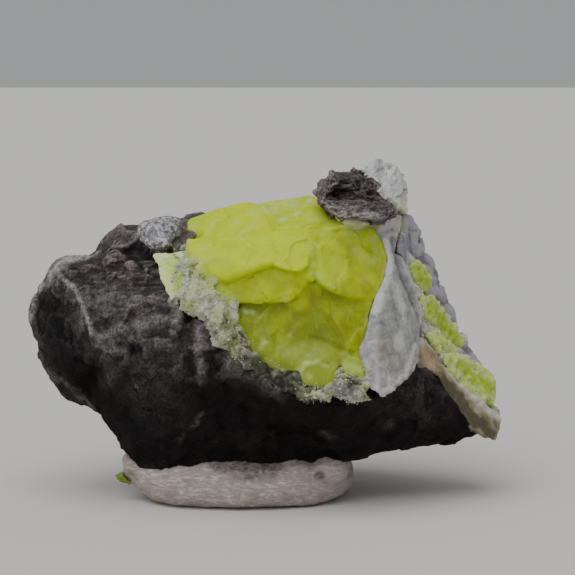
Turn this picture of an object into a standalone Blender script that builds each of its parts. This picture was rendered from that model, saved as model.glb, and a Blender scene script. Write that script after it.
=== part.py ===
"""Native sulfur on limestone: a crystal specimen that stands on a pad of display putty.

Dark limestone carries a pocket of yellow sulfur crystals. A pale crust lines the pocket, a
clear gypsum plate closes its right side, and a layered flank with more sulfur runs down the
right end. Everything stands on a pressed pad of putty. The origin is the middle of the
putty's flat underside, +Z is up, and -Y is the side that the sulfur pocket faces.

Corner lists are in millimetres, as x (left to right), y (front to back), z (up).
"""

import math

import bmesh
import bpy
from mathutils import Matrix, Vector, noise

MM = 0.001

# Driving dimensions, in metres.
STONE_LENGTH = 57 * MM  # left tip of the limestone to the right tip of the calcite band
STONE_DEPTH = 32 * MM  # front rim of the pocket to the back of the limestone
OVERALL_HEIGHT = 41 * MM  # underside of the putty to the top of the spar tip
PUTTY_LENGTH = 28.4 * MM
PUTTY_WIDTH = 21 * MM
PUTTY_HEIGHT = 6.2 * MM
GAP = 0.3 * MM  # clearance left between touching pieces

STONE_GRAIN = 0.55 * MM  # size of the smallest lump that a fused stone keeps
CRYSTAL_BEVEL = 0.35 * MM  # worn width of a crystal's edges

# Which way each broken facet tilts. Blender would take the clock for this, so it is fixed.
FACET_SEED = 1795452506


# ---------------------------------------------------------------- modelling helpers


def clear_scene():
    for old in list(bpy.data.objects):
        bpy.data.objects.remove(old)


def new_collection(name):
    made = bpy.data.collections.new(name)
    bpy.context.scene.collection.children.link(made)
    return made


def object_from(name, solid, collection):
    """An object with the bmesh's shape; the bmesh is freed."""
    mesh = bpy.data.meshes.new(name)
    solid.to_mesh(mesh)
    solid.free()
    made = bpy.data.objects.new(name, mesh)
    collection.objects.link(made)
    return made


def settle(piece):
    """Applies the piece's modifiers to its mesh."""
    bpy.context.view_layer.update()
    graph = bpy.context.evaluated_depsgraph_get()
    finished = bpy.data.meshes.new_from_object(piece.evaluated_get(graph))
    piece.modifiers.clear()
    piece.data = finished
    return piece


def block(corners):
    """One convex lump: the hull of its corners."""
    lump = bmesh.new()
    for corner in corners:
        lump.verts.new(Vector(corner) * MM)
    bmesh.ops.convex_hull(lump, input=lump.verts)
    loose = [vertex for vertex in lump.verts if not vertex.link_faces]
    bmesh.ops.delete(lump, geom=loose, context="VERTS")
    return lump


def crystal(corners, bevel=CRYSTAL_BEVEL):
    """A convex lump with its edges worn: the hull of the corners drawn back along each edge."""
    sharp = block(corners)
    worn = bmesh.new()
    for edge in sharp.edges:
        start, end = edge.verts[0].co, edge.verts[1].co
        share = min(0.3, bevel / edge.calc_length())
        worn.verts.new(start.lerp(end, share))
        worn.verts.new(end.lerp(start, share))
    sharp.free()
    bmesh.ops.remove_doubles(worn, verts=worn.verts, dist=0.08 * MM)
    bmesh.ops.convex_hull(worn, input=worn.verts)
    loose = [vertex for vertex in worn.verts if not vertex.link_faces]
    bmesh.ops.delete(worn, geom=loose, context="VERTS")
    return worn


def knobbly(centre, radii, faces=8, turn=0.0):
    """A small rounded crystal or grain: a coarse ball, stretched, turned and given flat sides."""
    lump = bmesh.new()
    bmesh.ops.create_icosphere(lump, subdivisions=2, radius=1.0)
    for number in range(faces):
        angle = turn + 2.4 * number
        rise = 1 - 2 * (number + 0.5) / faces
        level = math.sqrt(1 - rise * rise)
        normal = Vector((level * math.cos(angle), level * math.sin(angle), rise))
        geometry = lump.verts[:] + lump.edges[:] + lump.faces[:]
        cut = bmesh.ops.bisect_plane(
            lump, geom=geometry, plane_co=normal * 0.84, plane_no=normal, clear_outer=True
        )
        rim = [edge for edge in cut["geom_cut"] if isinstance(edge, bmesh.types.BMEdge)]
        bmesh.ops.edgenet_fill(lump, edges=rim)
    bmesh.ops.recalc_face_normals(lump, faces=lump.faces)
    place = Matrix.LocRotScale(
        Vector(centre) * MM, Matrix.Rotation(turn, 3, "Z").to_quaternion(), Vector(radii) * MM
    )
    bmesh.ops.transform(lump, matrix=place, verts=lump.verts)
    return lump


def joined(name, lumps, collection):
    """One object holding every lump; the lumps still overlap."""
    whole = bmesh.new()
    for lump in lumps:
        part = bpy.data.meshes.new("lump")
        lump.to_mesh(part)
        lump.free()
        whole.from_mesh(part)
        bpy.data.meshes.remove(part)
    return object_from(name, whole, collection)


def skin_over(piece, grain):
    """Grows one even skin over the piece; whatever lies inside it goes."""
    skin = piece.modifiers.new("Skin", "REMESH")
    skin.mode = "VOXEL"
    skin.voxel_size = grain
    return settle(piece)


def fused(name, lumps, collection, grain=STONE_GRAIN):
    """Overlapping lumps grown into one stone skin."""
    return skin_over(joined(name, lumps, collection), grain)


def welded(name, lumps, collection):
    """Overlapping lumps joined by exact unions, which keeps their flat faces."""
    first, *others = [object_from(name, lump, collection) for lump in lumps]
    for other in others:
        union = first.modifiers.new("Union", "BOOLEAN")
        union.operation = "UNION"
        union.object = other
        settle(first)
        bpy.data.objects.remove(other)
    return first


def shift_vertices(piece, move):
    """Moves every vertex by move(position, normal)."""
    solid = bmesh.new()
    solid.from_mesh(piece.data)
    solid.normal_update()
    moved = [vertex.co + move(vertex.co, vertex.normal) for vertex in solid.verts]
    for vertex, place in zip(solid.verts, moved):
        vertex.co = place
    solid.to_mesh(piece.data)
    solid.free()


def roughen(piece, size, height, seed, octaves=4):
    """Lumps and hollows of the given size, raised along the surface."""

    def move(place, normal):
        spot = place / size + Vector((seed, 2.3 * seed, -seed))
        return normal * height * noise.fractal(spot, 0.9, 2.1, octaves)

    shift_vertices(piece, move)


def chip(piece, size, height, seed):
    """Broken facets: the surface is cut into cells, and each cell is tilted its own way."""

    def move(place, normal):
        spot = place / size + Vector((seed, -seed, 1.7 * seed))
        near = noise.voronoi(spot)[1][0]
        tilt = noise.noise_vector(near * 5.1).normalized()
        return normal * height * (spot - near).dot(tilt)

    shift_vertices(piece, move)


def dent(piece, hollows):
    """Presses round hollows in, or raises bumps where the depth is below zero."""

    def move(place, normal):
        total = Vector()
        for centre, radius, depth in hollows:
            share = (place / MM - Vector(centre)).length / radius
            if share < 1:
                total -= normal * depth * MM * (1 - share * share) ** 2
        return total

    shift_vertices(piece, move)


def thin_to(piece, faces):
    """Lowers the mesh to about this many triangles."""
    bpy.context.view_layer.update()
    piece.data.calc_loop_triangles()
    ratio = faces / len(piece.data.loop_triangles)
    if ratio < 1:
        fewer = piece.modifiers.new("Fewer faces", "DECIMATE")
        fewer.ratio = ratio
        settle(piece)
    return piece


def keep_largest(piece):
    """Drops crumbs that a cut has parted from the piece."""
    solid = bmesh.new()
    solid.from_mesh(piece.data)
    bmesh.ops.remove_doubles(solid, verts=solid.verts, dist=0.002 * MM)
    unseen = set(solid.verts)
    islands = []
    while unseen:
        front = [unseen.pop()]
        island = set(front)
        while front:
            for edge in front.pop().link_edges:
                for vertex in edge.verts:
                    if vertex in unseen:
                        unseen.discard(vertex)
                        island.add(vertex)
                        front.append(vertex)
        islands.append(island)
    largest = max(islands, key=len)
    crumbs = [vertex for vertex in solid.verts if vertex not in largest]
    bmesh.ops.delete(solid, geom=crumbs, context="VERTS")
    bmesh.ops.triangulate(solid, faces=solid.faces)
    solid.to_mesh(piece.data)
    solid.free()


def swollen(pieces, collection, by, faces):
    """One body around copies of the pieces, larger all round by the given distance."""
    whole = bmesh.new()
    for piece in pieces:
        whole.from_mesh(piece.data)
    copy = object_from("room", whole, collection)
    skin_over(copy, 0.5 * STONE_GRAIN)
    shift_vertices(copy, lambda place, normal: normal * by)
    skin_over(copy, 0.8 * STONE_GRAIN)
    thin_to(copy, faces)
    copy.hide_render = True
    copy.display_type = "WIRE"
    return copy


def make_room(piece, neighbours, cutters, faces=320):
    """Cuts the piece back so that it clears its neighbours by the gap."""
    room = swollen(neighbours, cutters, 1.7 * GAP, faces)
    cut = piece.modifiers.new("Room", "BOOLEAN")
    cut.operation = "DIFFERENCE"
    cut.object = room
    settle(piece)
    bpy.data.objects.remove(room)
    keep_largest(piece)


def finish(piece, colour, roughness):
    """The piece's own plain material, colour in linear light."""
    material = bpy.data.materials.new(piece.name)
    material.use_nodes = True
    shader = material.node_tree.nodes["Principled BSDF"]
    shader.inputs["Base Color"].default_value = (*colour, 1.0)
    shader.inputs["Roughness"].default_value = roughness
    shader.inputs["Metallic"].default_value = 0.0
    piece.data.materials.clear()
    piece.data.materials.append(material)


# ---------------------------------------------------------------- the limestone


def limestone(parts):
    """Broken marly limestone: a wedge to the left, a shelf under the pocket, a sloping back."""
    west_wedge = [
        (-26.2, 0.0, 22.0), (-25.3, 0.0, 23.9), (-22.4, 1.0, 28.0), (-21.0, 1.0, 29.0),
        (-17.4, 3.0, 29.4), (-21.6, -2.0, 28.0), (-19.8, -6.0, 26.1), (-17.6, -9.0, 22.1),
        (-15.9, -10.6, 19.7), (-19.3, -6.0, 15.4), (-24.3, -1.6, 18.6), (-21.0, -1.0, 13.4),
        (-20.0, 10.0, 26.5), (-23.5, 7.0, 21.5), (-20.0, 10.5, 15.0), (-12.0, -7.0, 28.0),
        (-10.0, -10.0, 22.0), (-10.0, 6.0, 28.0), (-10.0, 4.0, 14.0),
    ]
    west_spur = [
        (-25.3, 2.0, 16.4), (-24.9, 2.5, 18.6), (-23.6, -0.4, 15.0), (-21.6, -1.0, 13.0),
        (-19.6, -1.6, 12.0), (-18.0, 8.0, 13.0), (-22.0, 7.0, 19.0), (-17.0, -4.0, 17.0),
        (-16.0, 6.0, 20.0), (-17.4, -3.4, 11.2),
    ]
    shoulder = [
        (-17.6, 2.5, 29.8), (-16.3, 3.0, 31.4), (-15.0, 3.0, 32.3), (-12.8, 4.0, 32.7),
        (-8.0, 4.0, 33.4), (-5.0, 3.0, 33.5), (-2.0, 8.0, 33.2), (-6.0, 12.0, 31.5),
        (-14.0, 12.0, 29.0), (-18.0, 8.0, 27.5), (-15.2, -4.6, 28.8), (-10.4, -5.6, 28.9),
        (-9.0, -8.5, 26.5), (-16.0, -6.0, 24.0), (-4.0, 6.0, 22.0),
    ]
    front_bulge = [
        (-8.8, -11.0, 25.2), (-6.8, -12.6, 23.2), (-2.8, -13.6, 19.4), (1.8, -13.8, 16.2),
        (6.5, -13.9, 13.6), (11.5, -13.4, 12.8), (16.5, -11.6, 13.0), (-12.6, -12.0, 19.4),
        (-15.4, -10.6, 19.0), (-12.8, -9.6, 25.5), (-17.5, -3.0, 11.8), (-15.6, -4.0, 10.0),
        (-14.4, -5.0, 8.4), (-13.8, -5.0, 6.6), (-11.2, -6.0, 4.5), (-8.4, -6.6, 4.2),
        (-4.6, -6.6, 4.3), (8.8, -7.0, 5.9), (14.2, -7.0, 6.0), (18.0, -6.4, 5.9),
        (-10.3, -9.4, 9.8), (-2.1, -10.4, 8.6), (-10.0, 10.0, 6.0), (8.0, 11.0, 6.4),
        (16.0, 9.0, 7.0), (-9.0, -3.0, 27.4), (-3.0, -4.0, 22.4), (5.0, -4.0, 17.6),
        (16.0, -4.0, 16.0), (-9.0, 4.0, 28.0),
    ]
    core = [
        (-9.0, 0.0, 31.4), (-3.0, 2.0, 33.4), (3.0, 3.2, 34.6), (8.4, 3.6, 35.2),
        (13.0, 2.6, 35.0), (17.0, 3.4, 34.6), (17.4, 1.0, 33.0), (-8.0, -3.4, 26.0), (0.0, -4.0, 20.0), (12.0, -4.0, 16.0),
        (16.0, -2.4, 26.0), (-8.0, 12.0, 30.4), (1.0, 9.0, 34.0), (12.0, 9.6, 33.4), (-8.0, 10.0, 8.0),
        (14.0, 10.0, 8.0), (16.0, -3.0, 16.0),
    ]
    east_wedge = [
        (16.0, -11.2, 13.2), (20.0, -8.4, 17.4), (22.6, -6.8, 14.8), (25.4, -5.6, 11.6),
        (28.4, -3.4, 8.6), (29.6, -1.4, 7.4), (24.3, -4.4, 7.5), (20.6, -5.4, 6.6),
        (17.0, -6.6, 6.0), (12.0, -7.0, 6.2), (18.6, -5.0, 21.0), (21.4, 2.0, 21.0),
        (24.6, 6.6, 17.0), (27.0, 5.6, 13.0), (28.8, 3.4, 9.6), (26.0, 7.0, 8.0),
        (18.0, 11.0, 7.4), (12.0, 4.0, 22.0),
    ]
    east_flank = [
        (16.6, -2.0, 32.6), (18.6, 2.6, 33.0), (19.8, 5.0, 30.4), (21.6, 7.0, 26.6),
        (23.2, 8.0, 22.0), (24.6, 8.0, 17.6), (17.4, -3.6, 29.0), (18.0, -4.6, 24.0),
        (18.6, -5.4, 19.6), (15.0, 11.0, 29.5), (19.0, 13.0, 20.0), (10.0, 0.0, 30.0),
        (12.0, 0.0, 18.0), (13.0, 6.0, 33.4),
    ]
    back = [
        (-15.0, 12.5, 26.5), (-17.5, 13.0, 19.0), (-13.0, 15.5, 11.0), (-3.0, 17.6, 9.5),
        (8.0, 18.2, 13.0), (16.5, 15.6, 11.0), (20.5, 12.6, 18.0), (16.5, 13.4, 26.0),
        (8.5, 13.0, 31.0), (-2.0, 13.6, 30.4), (-10.0, 5.0, 14.0), (12.0, 4.0, 10.0),
        (10.0, 4.0, 31.5), (-8.0, 6.0, 31.0), (-10.0, 9.0, 5.6), (10.0, 10.0, 6.0),
    ]
    blocks = [
        west_wedge, west_spur, shoulder, front_bulge, core, east_wedge, east_flank, back,
    ]
    stone = fused("limestone_matrix", [block(corners) for corners in blocks], parts)

    hollows = [
        ((-20.4, -5.2, 20.8), 4.6, 0.7),  # dished left facet
        ((-12.9, -9.6, 25.4), 4.0, 0.5),  # soft hollow under the shoulder
        ((-13.2, -11.4, 18.2), 2.6, 0.9),  # round pit on the front
        ((-6.4, -13.0, 21.6), 2.4, 1.0),  # dark pit below the pale crust
        ((-8.6, -12.4, 15.4), 3.4, -0.7),  # swelling in the middle of the front
        ((-3.6, -13.2, 16.4), 1.7, -0.6),  # powdery streak's ridge
        ((-1.4, -12.4, 12.4), 3.6, 1.0),  # spall below the streak
        ((5.0, -10.2, 9.0), 4.4, 0.8),  # undercut below the pocket
        ((15.0, -9.4, 9.4), 4.6, 0.7),
        ((22.6, -6.2, 12.0), 3.0, 0.8),  # hollow under the calcite band
        ((-17.5, 12.4, 22.0), 5.0, 0.9),  # broken hollows on the back
        ((-4.0, 15.8, 20.0), 6.0, 1.1),
        ((9.0, 15.6, 22.0), 5.0, -0.8),
        ((14.0, 14.6, 14.0), 5.5, 1.0),
        ((-10.0, 13.4, 11.0), 5.0, -0.7),
    ]
    dent(stone, hollows)
    chip(stone, 6.5 * MM, 0.75 * MM, seed=3.1)
    roughen(stone, 4.2 * MM, 0.42 * MM, seed=1.4)
    skin_over(stone, STONE_GRAIN)
    return thin_to(stone, 1800)


# ---------------------------------------------------------------- sulfur


def sulfur_pocket(parts):
    """The main mass: blocky sulfur crystals grown together, every one with flat faces."""
    upper_left = [
        (-6.3, -1.0, 33.4), (-5.5, -3.0, 32.4), (-5.9, -7.5, 30.3), (-5.5, -8.6, 28.6),
        (-4.3, 0.0, 34.0), (0.3, 0.0, 35.4), (2.2, 0.0, 35.3), (3.7, -4.0, 33.5),
        (4.3, -7.0, 32.3), (4.4, -11.0, 29.4), (2.0, -11.5, 28.9), (0.3, -11.4, 28.2),
        (-1.6, -11.0, 27.4), (-3.2, -10.2, 28.0), (-4.6, -9.2, 29.2), (-2.6, 2.2, 32.0),
        (3.0, 3.0, 32.0), (1.0, -5.0, 26.0),
    ]
    left_dome = [
        (-5.6, -7.8, 30.2), (-4.2, -7.0, 31.8), (-2.4, -7.6, 31.6), (-2.0, -9.6, 29.9),
        (-3.4, -9.9, 28.8), (-4.8, -9.0, 28.8), (-2.0, -5.0, 29.0),
    ]
    upper_middle = [
        (4.0, -7.2, 32.4), (7.4, -6.7, 32.6), (8.1, -8.7, 30.9), (8.0, -10.8, 29.1),
        (7.1, -11.6, 28.4), (6.0, -11.7, 28.6), (4.3, -11.5, 29.2), (5.0, -3.0, 28.0),
        (8.0, -3.0, 29.0),
    ]
    crest = [
        (2.1, 0.0, 35.3), (3.6, 0.5, 35.2), (6.3, 1.0, 35.5), (8.5, 1.0, 36.3),
        (9.3, 0.0, 35.8), (10.2, -3.0, 34.7), (10.8, -5.0, 34.0), (7.7, -6.4, 32.6),
        (4.2, -6.8, 32.6), (3.4, -4.0, 33.5), (3.4, 2.6, 34.2), (7.6, 3.4, 34.6),
        (5.0, 0.0, 29.0), (13.0, -1.0, 34.4), (6.0, 4.0, 32.0),
    ]
    brow = [
        (-4.6, -8.6, 28.4), (-2.7, -9.8, 27.9), (2.0, -10.4, 29.0), (4.3, -10.4, 29.3),
        (7.1, -10.7, 28.7), (8.2, -10.3, 28.3), (8.4, -9.9, 27.2), (7.7, -10.3, 26.2),
        (5.6, -11.0, 24.8), (2.3, -11.4, 24.4), (0.1, -11.2, 24.6), (-1.2, -10.8, 25.8),
        (-3.5, -9.6, 26.4), (0.0, -4.0, 26.0), (7.0, -4.0, 27.0),
    ]
    right_face = [
        (8.4, -8.6, 30.7), (9.2, -7.6, 31.8), (10.7, -5.8, 33.4), (15.1, -4.5, 33.5),
        (16.8, -5.0, 31.5), (17.5, -6.1, 29.1), (17.1, -7.1, 27.4), (16.4, -8.2, 25.8),
        (15.7, -8.6, 24.8), (12.6, -9.7, 25.3), (11.3, -10.3, 26.0), (9.9, -10.2, 26.5),
        (8.6, -10.0, 27.3), (8.3, -9.4, 29.1), (9.0, 0.0, 27.0), (15.0, 0.0, 28.0),
        (12.0, -2.0, 23.0),
    ]
    right_dome = [
        (8.9, -9.1, 30.8), (11.4, -8.4, 31.4), (13.4, -8.5, 30.5), (13.7, -9.3, 28.8),
        (13.0, -10.3, 26.8), (11.6, -10.8, 26.1), (10.0, -10.7, 26.4), (8.7, -10.3, 27.4),
        (11.0, -6.0, 28.0),
    ]
    small_dome = [
        (5.7, -10.6, 25.3), (7.1, -10.2, 26.3), (8.5, -10.2, 25.7), (8.7, -10.7, 24.4),
        (8.0, -11.0, 23.5), (6.6, -11.0, 23.6), (5.7, -11.0, 24.5), (7.0, -6.0, 25.0),
    ]
    lower_face = [
        (-1.4, -9.4, 25.0), (-0.7, -10.2, 23.6), (0.3, -10.6, 22.0), (1.0, -11.0, 20.4),
        (2.2, -11.4, 18.2), (4.8, -12.0, 16.6), (7.3, -12.2, 16.6), (11.6, -11.8, 17.0),
        (13.4, -10.6, 18.6), (14.5, -9.8, 20.1), (15.1, -9.2, 22.3), (15.8, -8.6, 24.8),
        (9.2, -9.4, 26.6), (4.0, -3.0, 20.0), (13.0, -3.0, 22.0),
    ]
    lower_right = [
        (9.4, -9.9, 24.4), (11.2, -10.6, 22.4), (12.2, -10.9, 20.2), (13.4, -10.9, 18.5),
        (14.5, -10.1, 20.0), (15.1, -9.4, 22.3), (15.7, -8.8, 24.6), (13.0, -5.0, 22.0),
    ]
    foot_left = [
        (6.9, -12.5, 16.5), (7.7, -12.4, 17.7), (9.1, -12.3, 17.9), (11.2, -12.3, 17.3),
        (11.1, -12.8, 15.8), (9.9, -13.0, 15.1), (7.8, -13.0, 15.1), (9.0, -9.0, 17.4),
        (10.4, -9.0, 16.2),
    ]
    foot_right = [
        (12.1, -11.7, 17.8), (12.9, -11.4, 18.5), (14.2, -11.4, 18.0), (14.9, -11.7, 16.3),
        (14.0, -12.4, 15.3), (13.2, -12.6, 15.8), (12.2, -12.3, 17.0), (12.6, -8.4, 17.4),
        (14.0, -8.4, 17.0),
    ]
    inner = [
        (-2.0, -6.0, 28.0), (10.0, -6.0, 28.0), (14.0, -5.0, 26.0), (12.0, -7.5, 19.0),
        (5.0, -7.5, 19.0), (2.0, 0.0, 31.0), (12.0, -0.5, 31.0), (8.0, -4.0, 20.0),
    ]
    grown = [
        inner, upper_left, left_dome, upper_middle, crest, brow, right_face, right_dome,
        small_dome, lower_face, lower_right, foot_left, foot_right,
    ]
    return thin_to(welded("sulfur_pocket", [crystal(corners) for corners in grown], parts), 1300)


def sulfur_slab(parts):
    """A flat pale crystal that stands at the pocket's left corner."""
    corners = [
        (-9.9, -7.9, 30.0), (-6.0, -8.4, 30.4), (-5.4, -10.4, 27.7), (-6.1, -11.9, 26.0),
        (-7.6, -12.6, 25.0), (-8.3, -12.2, 26.4), (-9.1, -10.3, 28.3), (-8.6, -5.6, 29.4),
        (-6.0, -6.0, 29.6), (-5.6, -8.2, 26.4), (-7.6, -9.6, 25.4),
    ]
    return welded("sulfur_slab", [crystal(corners, 0.2 * MM)], parts)


def sulfur_flank(parts):
    """Three lens-shaped bodies of sulfur, one above the other down the right flank."""
    upper = [
        (19.9, -1.2, 28.7), (21.2, -0.2, 28.5), (22.2, 0.8, 27.3), (22.9, 1.8, 25.9),
        (22.6, 1.0, 24.9), (21.4, -0.4, 25.0), (20.6, -1.4, 26.9), (19.6, 2.0, 26.4),
        (21.4, 3.6, 24.8),
    ]
    middle = [
        (21.4, -2.4, 24.2), (23.1, -0.4, 24.1), (23.7, 1.2, 22.7), (24.7, 2.8, 21.1),
        (26.0, 4.2, 19.9), (27.1, 5.2, 18.3), (26.9, 4.6, 17.5), (25.7, 3.4, 17.7),
        (24.2, 1.0, 19.3), (22.9, -1.2, 21.1), (21.6, -2.6, 22.7), (21.0, 2.0, 21.6),
        (24.0, 6.0, 18.6),
    ]
    fold = [
        (21.8, -4.4, 20.6), (23.3, -3.0, 20.3), (24.8, -1.0, 18.7), (25.7, 0.2, 17.8),
        (25.2, -1.2, 17.3), (23.9, -3.0, 18.2), (22.4, -4.6, 19.6), (23.6, 0.4, 17.8),
        (25.0, -2.2, 15.8), (26.6, 0.8, 15.4),
    ]
    lower = [
        (24.4, -3.6, 17.7), (25.9, -1.4, 17.4), (26.8, 0.2, 16.6), (29.2, 3.2, 15.2),
        (30.7, 4.6, 14.0), (31.4, 4.6, 12.5), (31.1, 3.6, 11.4), (30.3, 2.2, 10.5),
        (29.2, 0.0, 11.4), (27.4, -1.8, 12.5), (25.8, -3.2, 14.5), (24.5, -4.2, 16.1),
        (25.0, 2.0, 14.6), (28.4, 4.8, 11.4),
    ]
    names = ["sulfur_flank_upper", "sulfur_flank_middle", "sulfur_flank_lower"]
    return [
        welded(name, [crystal(corners, 0.5 * MM) for corners in group], parts)
        for name, group in zip(names, [[upper], [middle], [fold, lower]])
    ]


# ---------------------------------------------------------------- gypsum, spar and calcite


def gypsum_plate(parts):
    """A clear, finely fibrous plate at the pocket's right side, broken off at its foot."""
    upper = [
        (16.4, -4.8, 31.8), (15.0, -5.0, 33.4), (17.1, -5.0, 34.0), (19.2, -2.8, 34.2),
        (18.8, -3.6, 32.6), (18.4, -4.8, 31.4), (18.3, -5.2, 30.0), (17.4, -6.4, 28.4),
        (17.1, -5.9, 30.4), (16.0, -1.6, 32.0), (18.4, -0.8, 32.4), (18.0, -2.0, 28.0),
    ]
    middle = [
        (17.4, -6.9, 29.0), (18.4, -5.4, 30.2), (19.4, -5.0, 29.2), (20.3, -6.0, 26.6),
        (20.8, -6.6, 24.4), (21.1, -7.2, 22.4), (16.4, -8.5, 24.8), (17.0, -8.0, 26.6),
        (16.4, -4.8, 27.0), (19.0, -3.0, 28.0), (20.2, -4.0, 23.0), (16.4, -6.0, 23.0),
    ]
    lower = [
        (16.6, -8.6, 25.6), (21.1, -7.2, 23.0), (20.9, -8.2, 20.2), (21.0, -9.2, 17.6),
        (20.3, -10.0, 17.0), (19.9, -10.6, 16.0), (19.0, -11.2, 15.3), (17.8, -12.0, 14.4),
        (16.5, -12.5, 13.9), (15.9, -12.5, 14.5), (14.9, -12.2, 15.1), (14.9, -11.4, 16.6),
        (14.0, -10.7, 18.0), (14.3, -9.9, 19.3), (15.2, -9.2, 22.3), (16.2, -5.6, 22.0),
        (20.0, -4.8, 21.0), (16.0, -7.4, 18.0), (19.0, -6.6, 17.8),
    ]
    tongue = [
        (11.4, -7.1, 34.3), (12.2, -7.4, 33.4), (14.0, -7.2, 32.9), (15.4, -6.0, 33.2),
        (15.8, -5.4, 34.4), (12.0, -3.6, 34.6), (15.4, -3.0, 34.0), (13.2, -4.6, 32.6),
        (17.0, -4.4, 33.4),
    ]
    pieces = [crystal(corners, 0.25 * MM) for corners in (upper, middle, lower, tongue)]
    return thin_to(welded("gypsum_plate", pieces, parts), 360)


def spar_tip(parts):
    """Colourless spar at the very top: jagged points on a common root."""
    points = [
        [(14.4, 0.4, 38.8), (15.1, 1.6, 40.3), (16.6, 2.2, 40.9), (17.4, 2.4, 39.5),
         (16.4, -1.8, 37.4), (15.2, 4.2, 38.0), (17.6, 4.2, 38.2), (18.2, 0.4, 37.2),
         (14.6, 3.0, 36.4), (18.0, 3.0, 36.0)],
        [(16.6, 2.2, 39.4), (18.1, 1.8, 39.5), (18.9, 2.2, 40.2), (19.5, 2.2, 38.9),
         (19.9, 2.6, 37.1), (17.0, -1.8, 37.0), (17.2, 4.4, 38.0), (19.2, 4.4, 37.4),
         (19.8, 0.4, 36.4)],
        [(16.0, -1.8, 37.9), (17.2, -2.6, 36.7), (19.0, -2.4, 35.5), (20.4, 1.6, 35.7),
         (20.0, -0.6, 34.2), (20.0, 2.6, 37.2), (18.0, 4.8, 36.6), (15.0, 4.2, 37.4),
         (15.4, 2.0, 34.0), (18.8, 4.0, 33.8), (17.0, -1.8, 34.8)],
    ]
    tip = welded("spar_tip", [crystal(corners, 0.15 * MM) for corners in points], parts)
    return thin_to(tip, 230)


def spar_knob(parts):
    """A rounded knob of sparkling grey crystals on the left shoulder."""
    grains = [
        ((-9.2, -3.6, 32.0), (2.7, 2.6, 1.8), 0.2),
        ((-10.6, -3.4, 32.3), (1.4, 1.7, 1.4), 1.1),
        ((-7.4, -3.2, 31.6), (1.8, 2.0, 1.5), 2.0),
        ((-8.8, -1.2, 32.9), (2.4, 2.0, 1.1), 0.7),
        ((-6.7, -0.8, 32.6), (1.4, 2.0, 1.1), 1.6),
        ((-9.4, -5.2, 31.2), (1.9, 1.5, 1.1), 2.6),
    ]
    lumps = [knobbly(centre, radii, 9, turn) for centre, radii, turn in grains]
    return thin_to(welded("spar_knob", lumps, parts), 380)


def pocket_crust(parts):
    """Granular white crust that edges the pocket from the slab down to its foot."""
    run = [
        ((-6.3, -10.4, 27.8), 1.0), ((-5.6, -10.9, 26.4), 1.4), ((-4.4, -10.6, 26.6), 1.2),
        ((-5.0, -11.7, 25.0), 1.5), ((-3.4, -11.4, 25.2), 1.5), ((-3.4, -12.2, 23.9), 1.2),
        ((-2.0, -11.8, 24.0), 1.4), ((-2.2, -12.3, 22.4), 1.4), ((-0.9, -12.0, 22.4), 1.3),
        ((-1.4, -12.5, 21.0), 1.3), ((0.0, -12.3, 20.6), 1.2), ((0.3, -12.8, 19.3), 1.15),
        ((1.6, -13.0, 18.2), 1.1), ((3.0, -13.2, 17.2), 1.05), ((4.5, -13.3, 16.3), 1.0),
        ((5.9, -13.2, 15.6), 0.9), ((7.2, -13.4, 14.7), 0.85), ((8.7, -13.4, 14.3), 0.8),
        ((10.2, -13.4, 14.4), 0.9), ((11.6, -13.2, 15.0), 1.0), ((12.7, -12.8, 14.4), 0.9),
        ((13.9, -12.7, 14.3), 0.9), ((15.0, -12.6, 13.9), 0.6),
    ]
    lumps = [
        knobbly(centre, (1.15 * size, 0.9 * size, size), 7, turn=1.3 * number)
        for number, (centre, size) in enumerate(run)
    ]
    crust = fused("pocket_crust", lumps, parts, grain=0.3 * MM)
    roughen(crust, 1.2 * MM, 0.3 * MM, seed=5.5)
    thin_to(crust, 740)
    return crust


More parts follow.
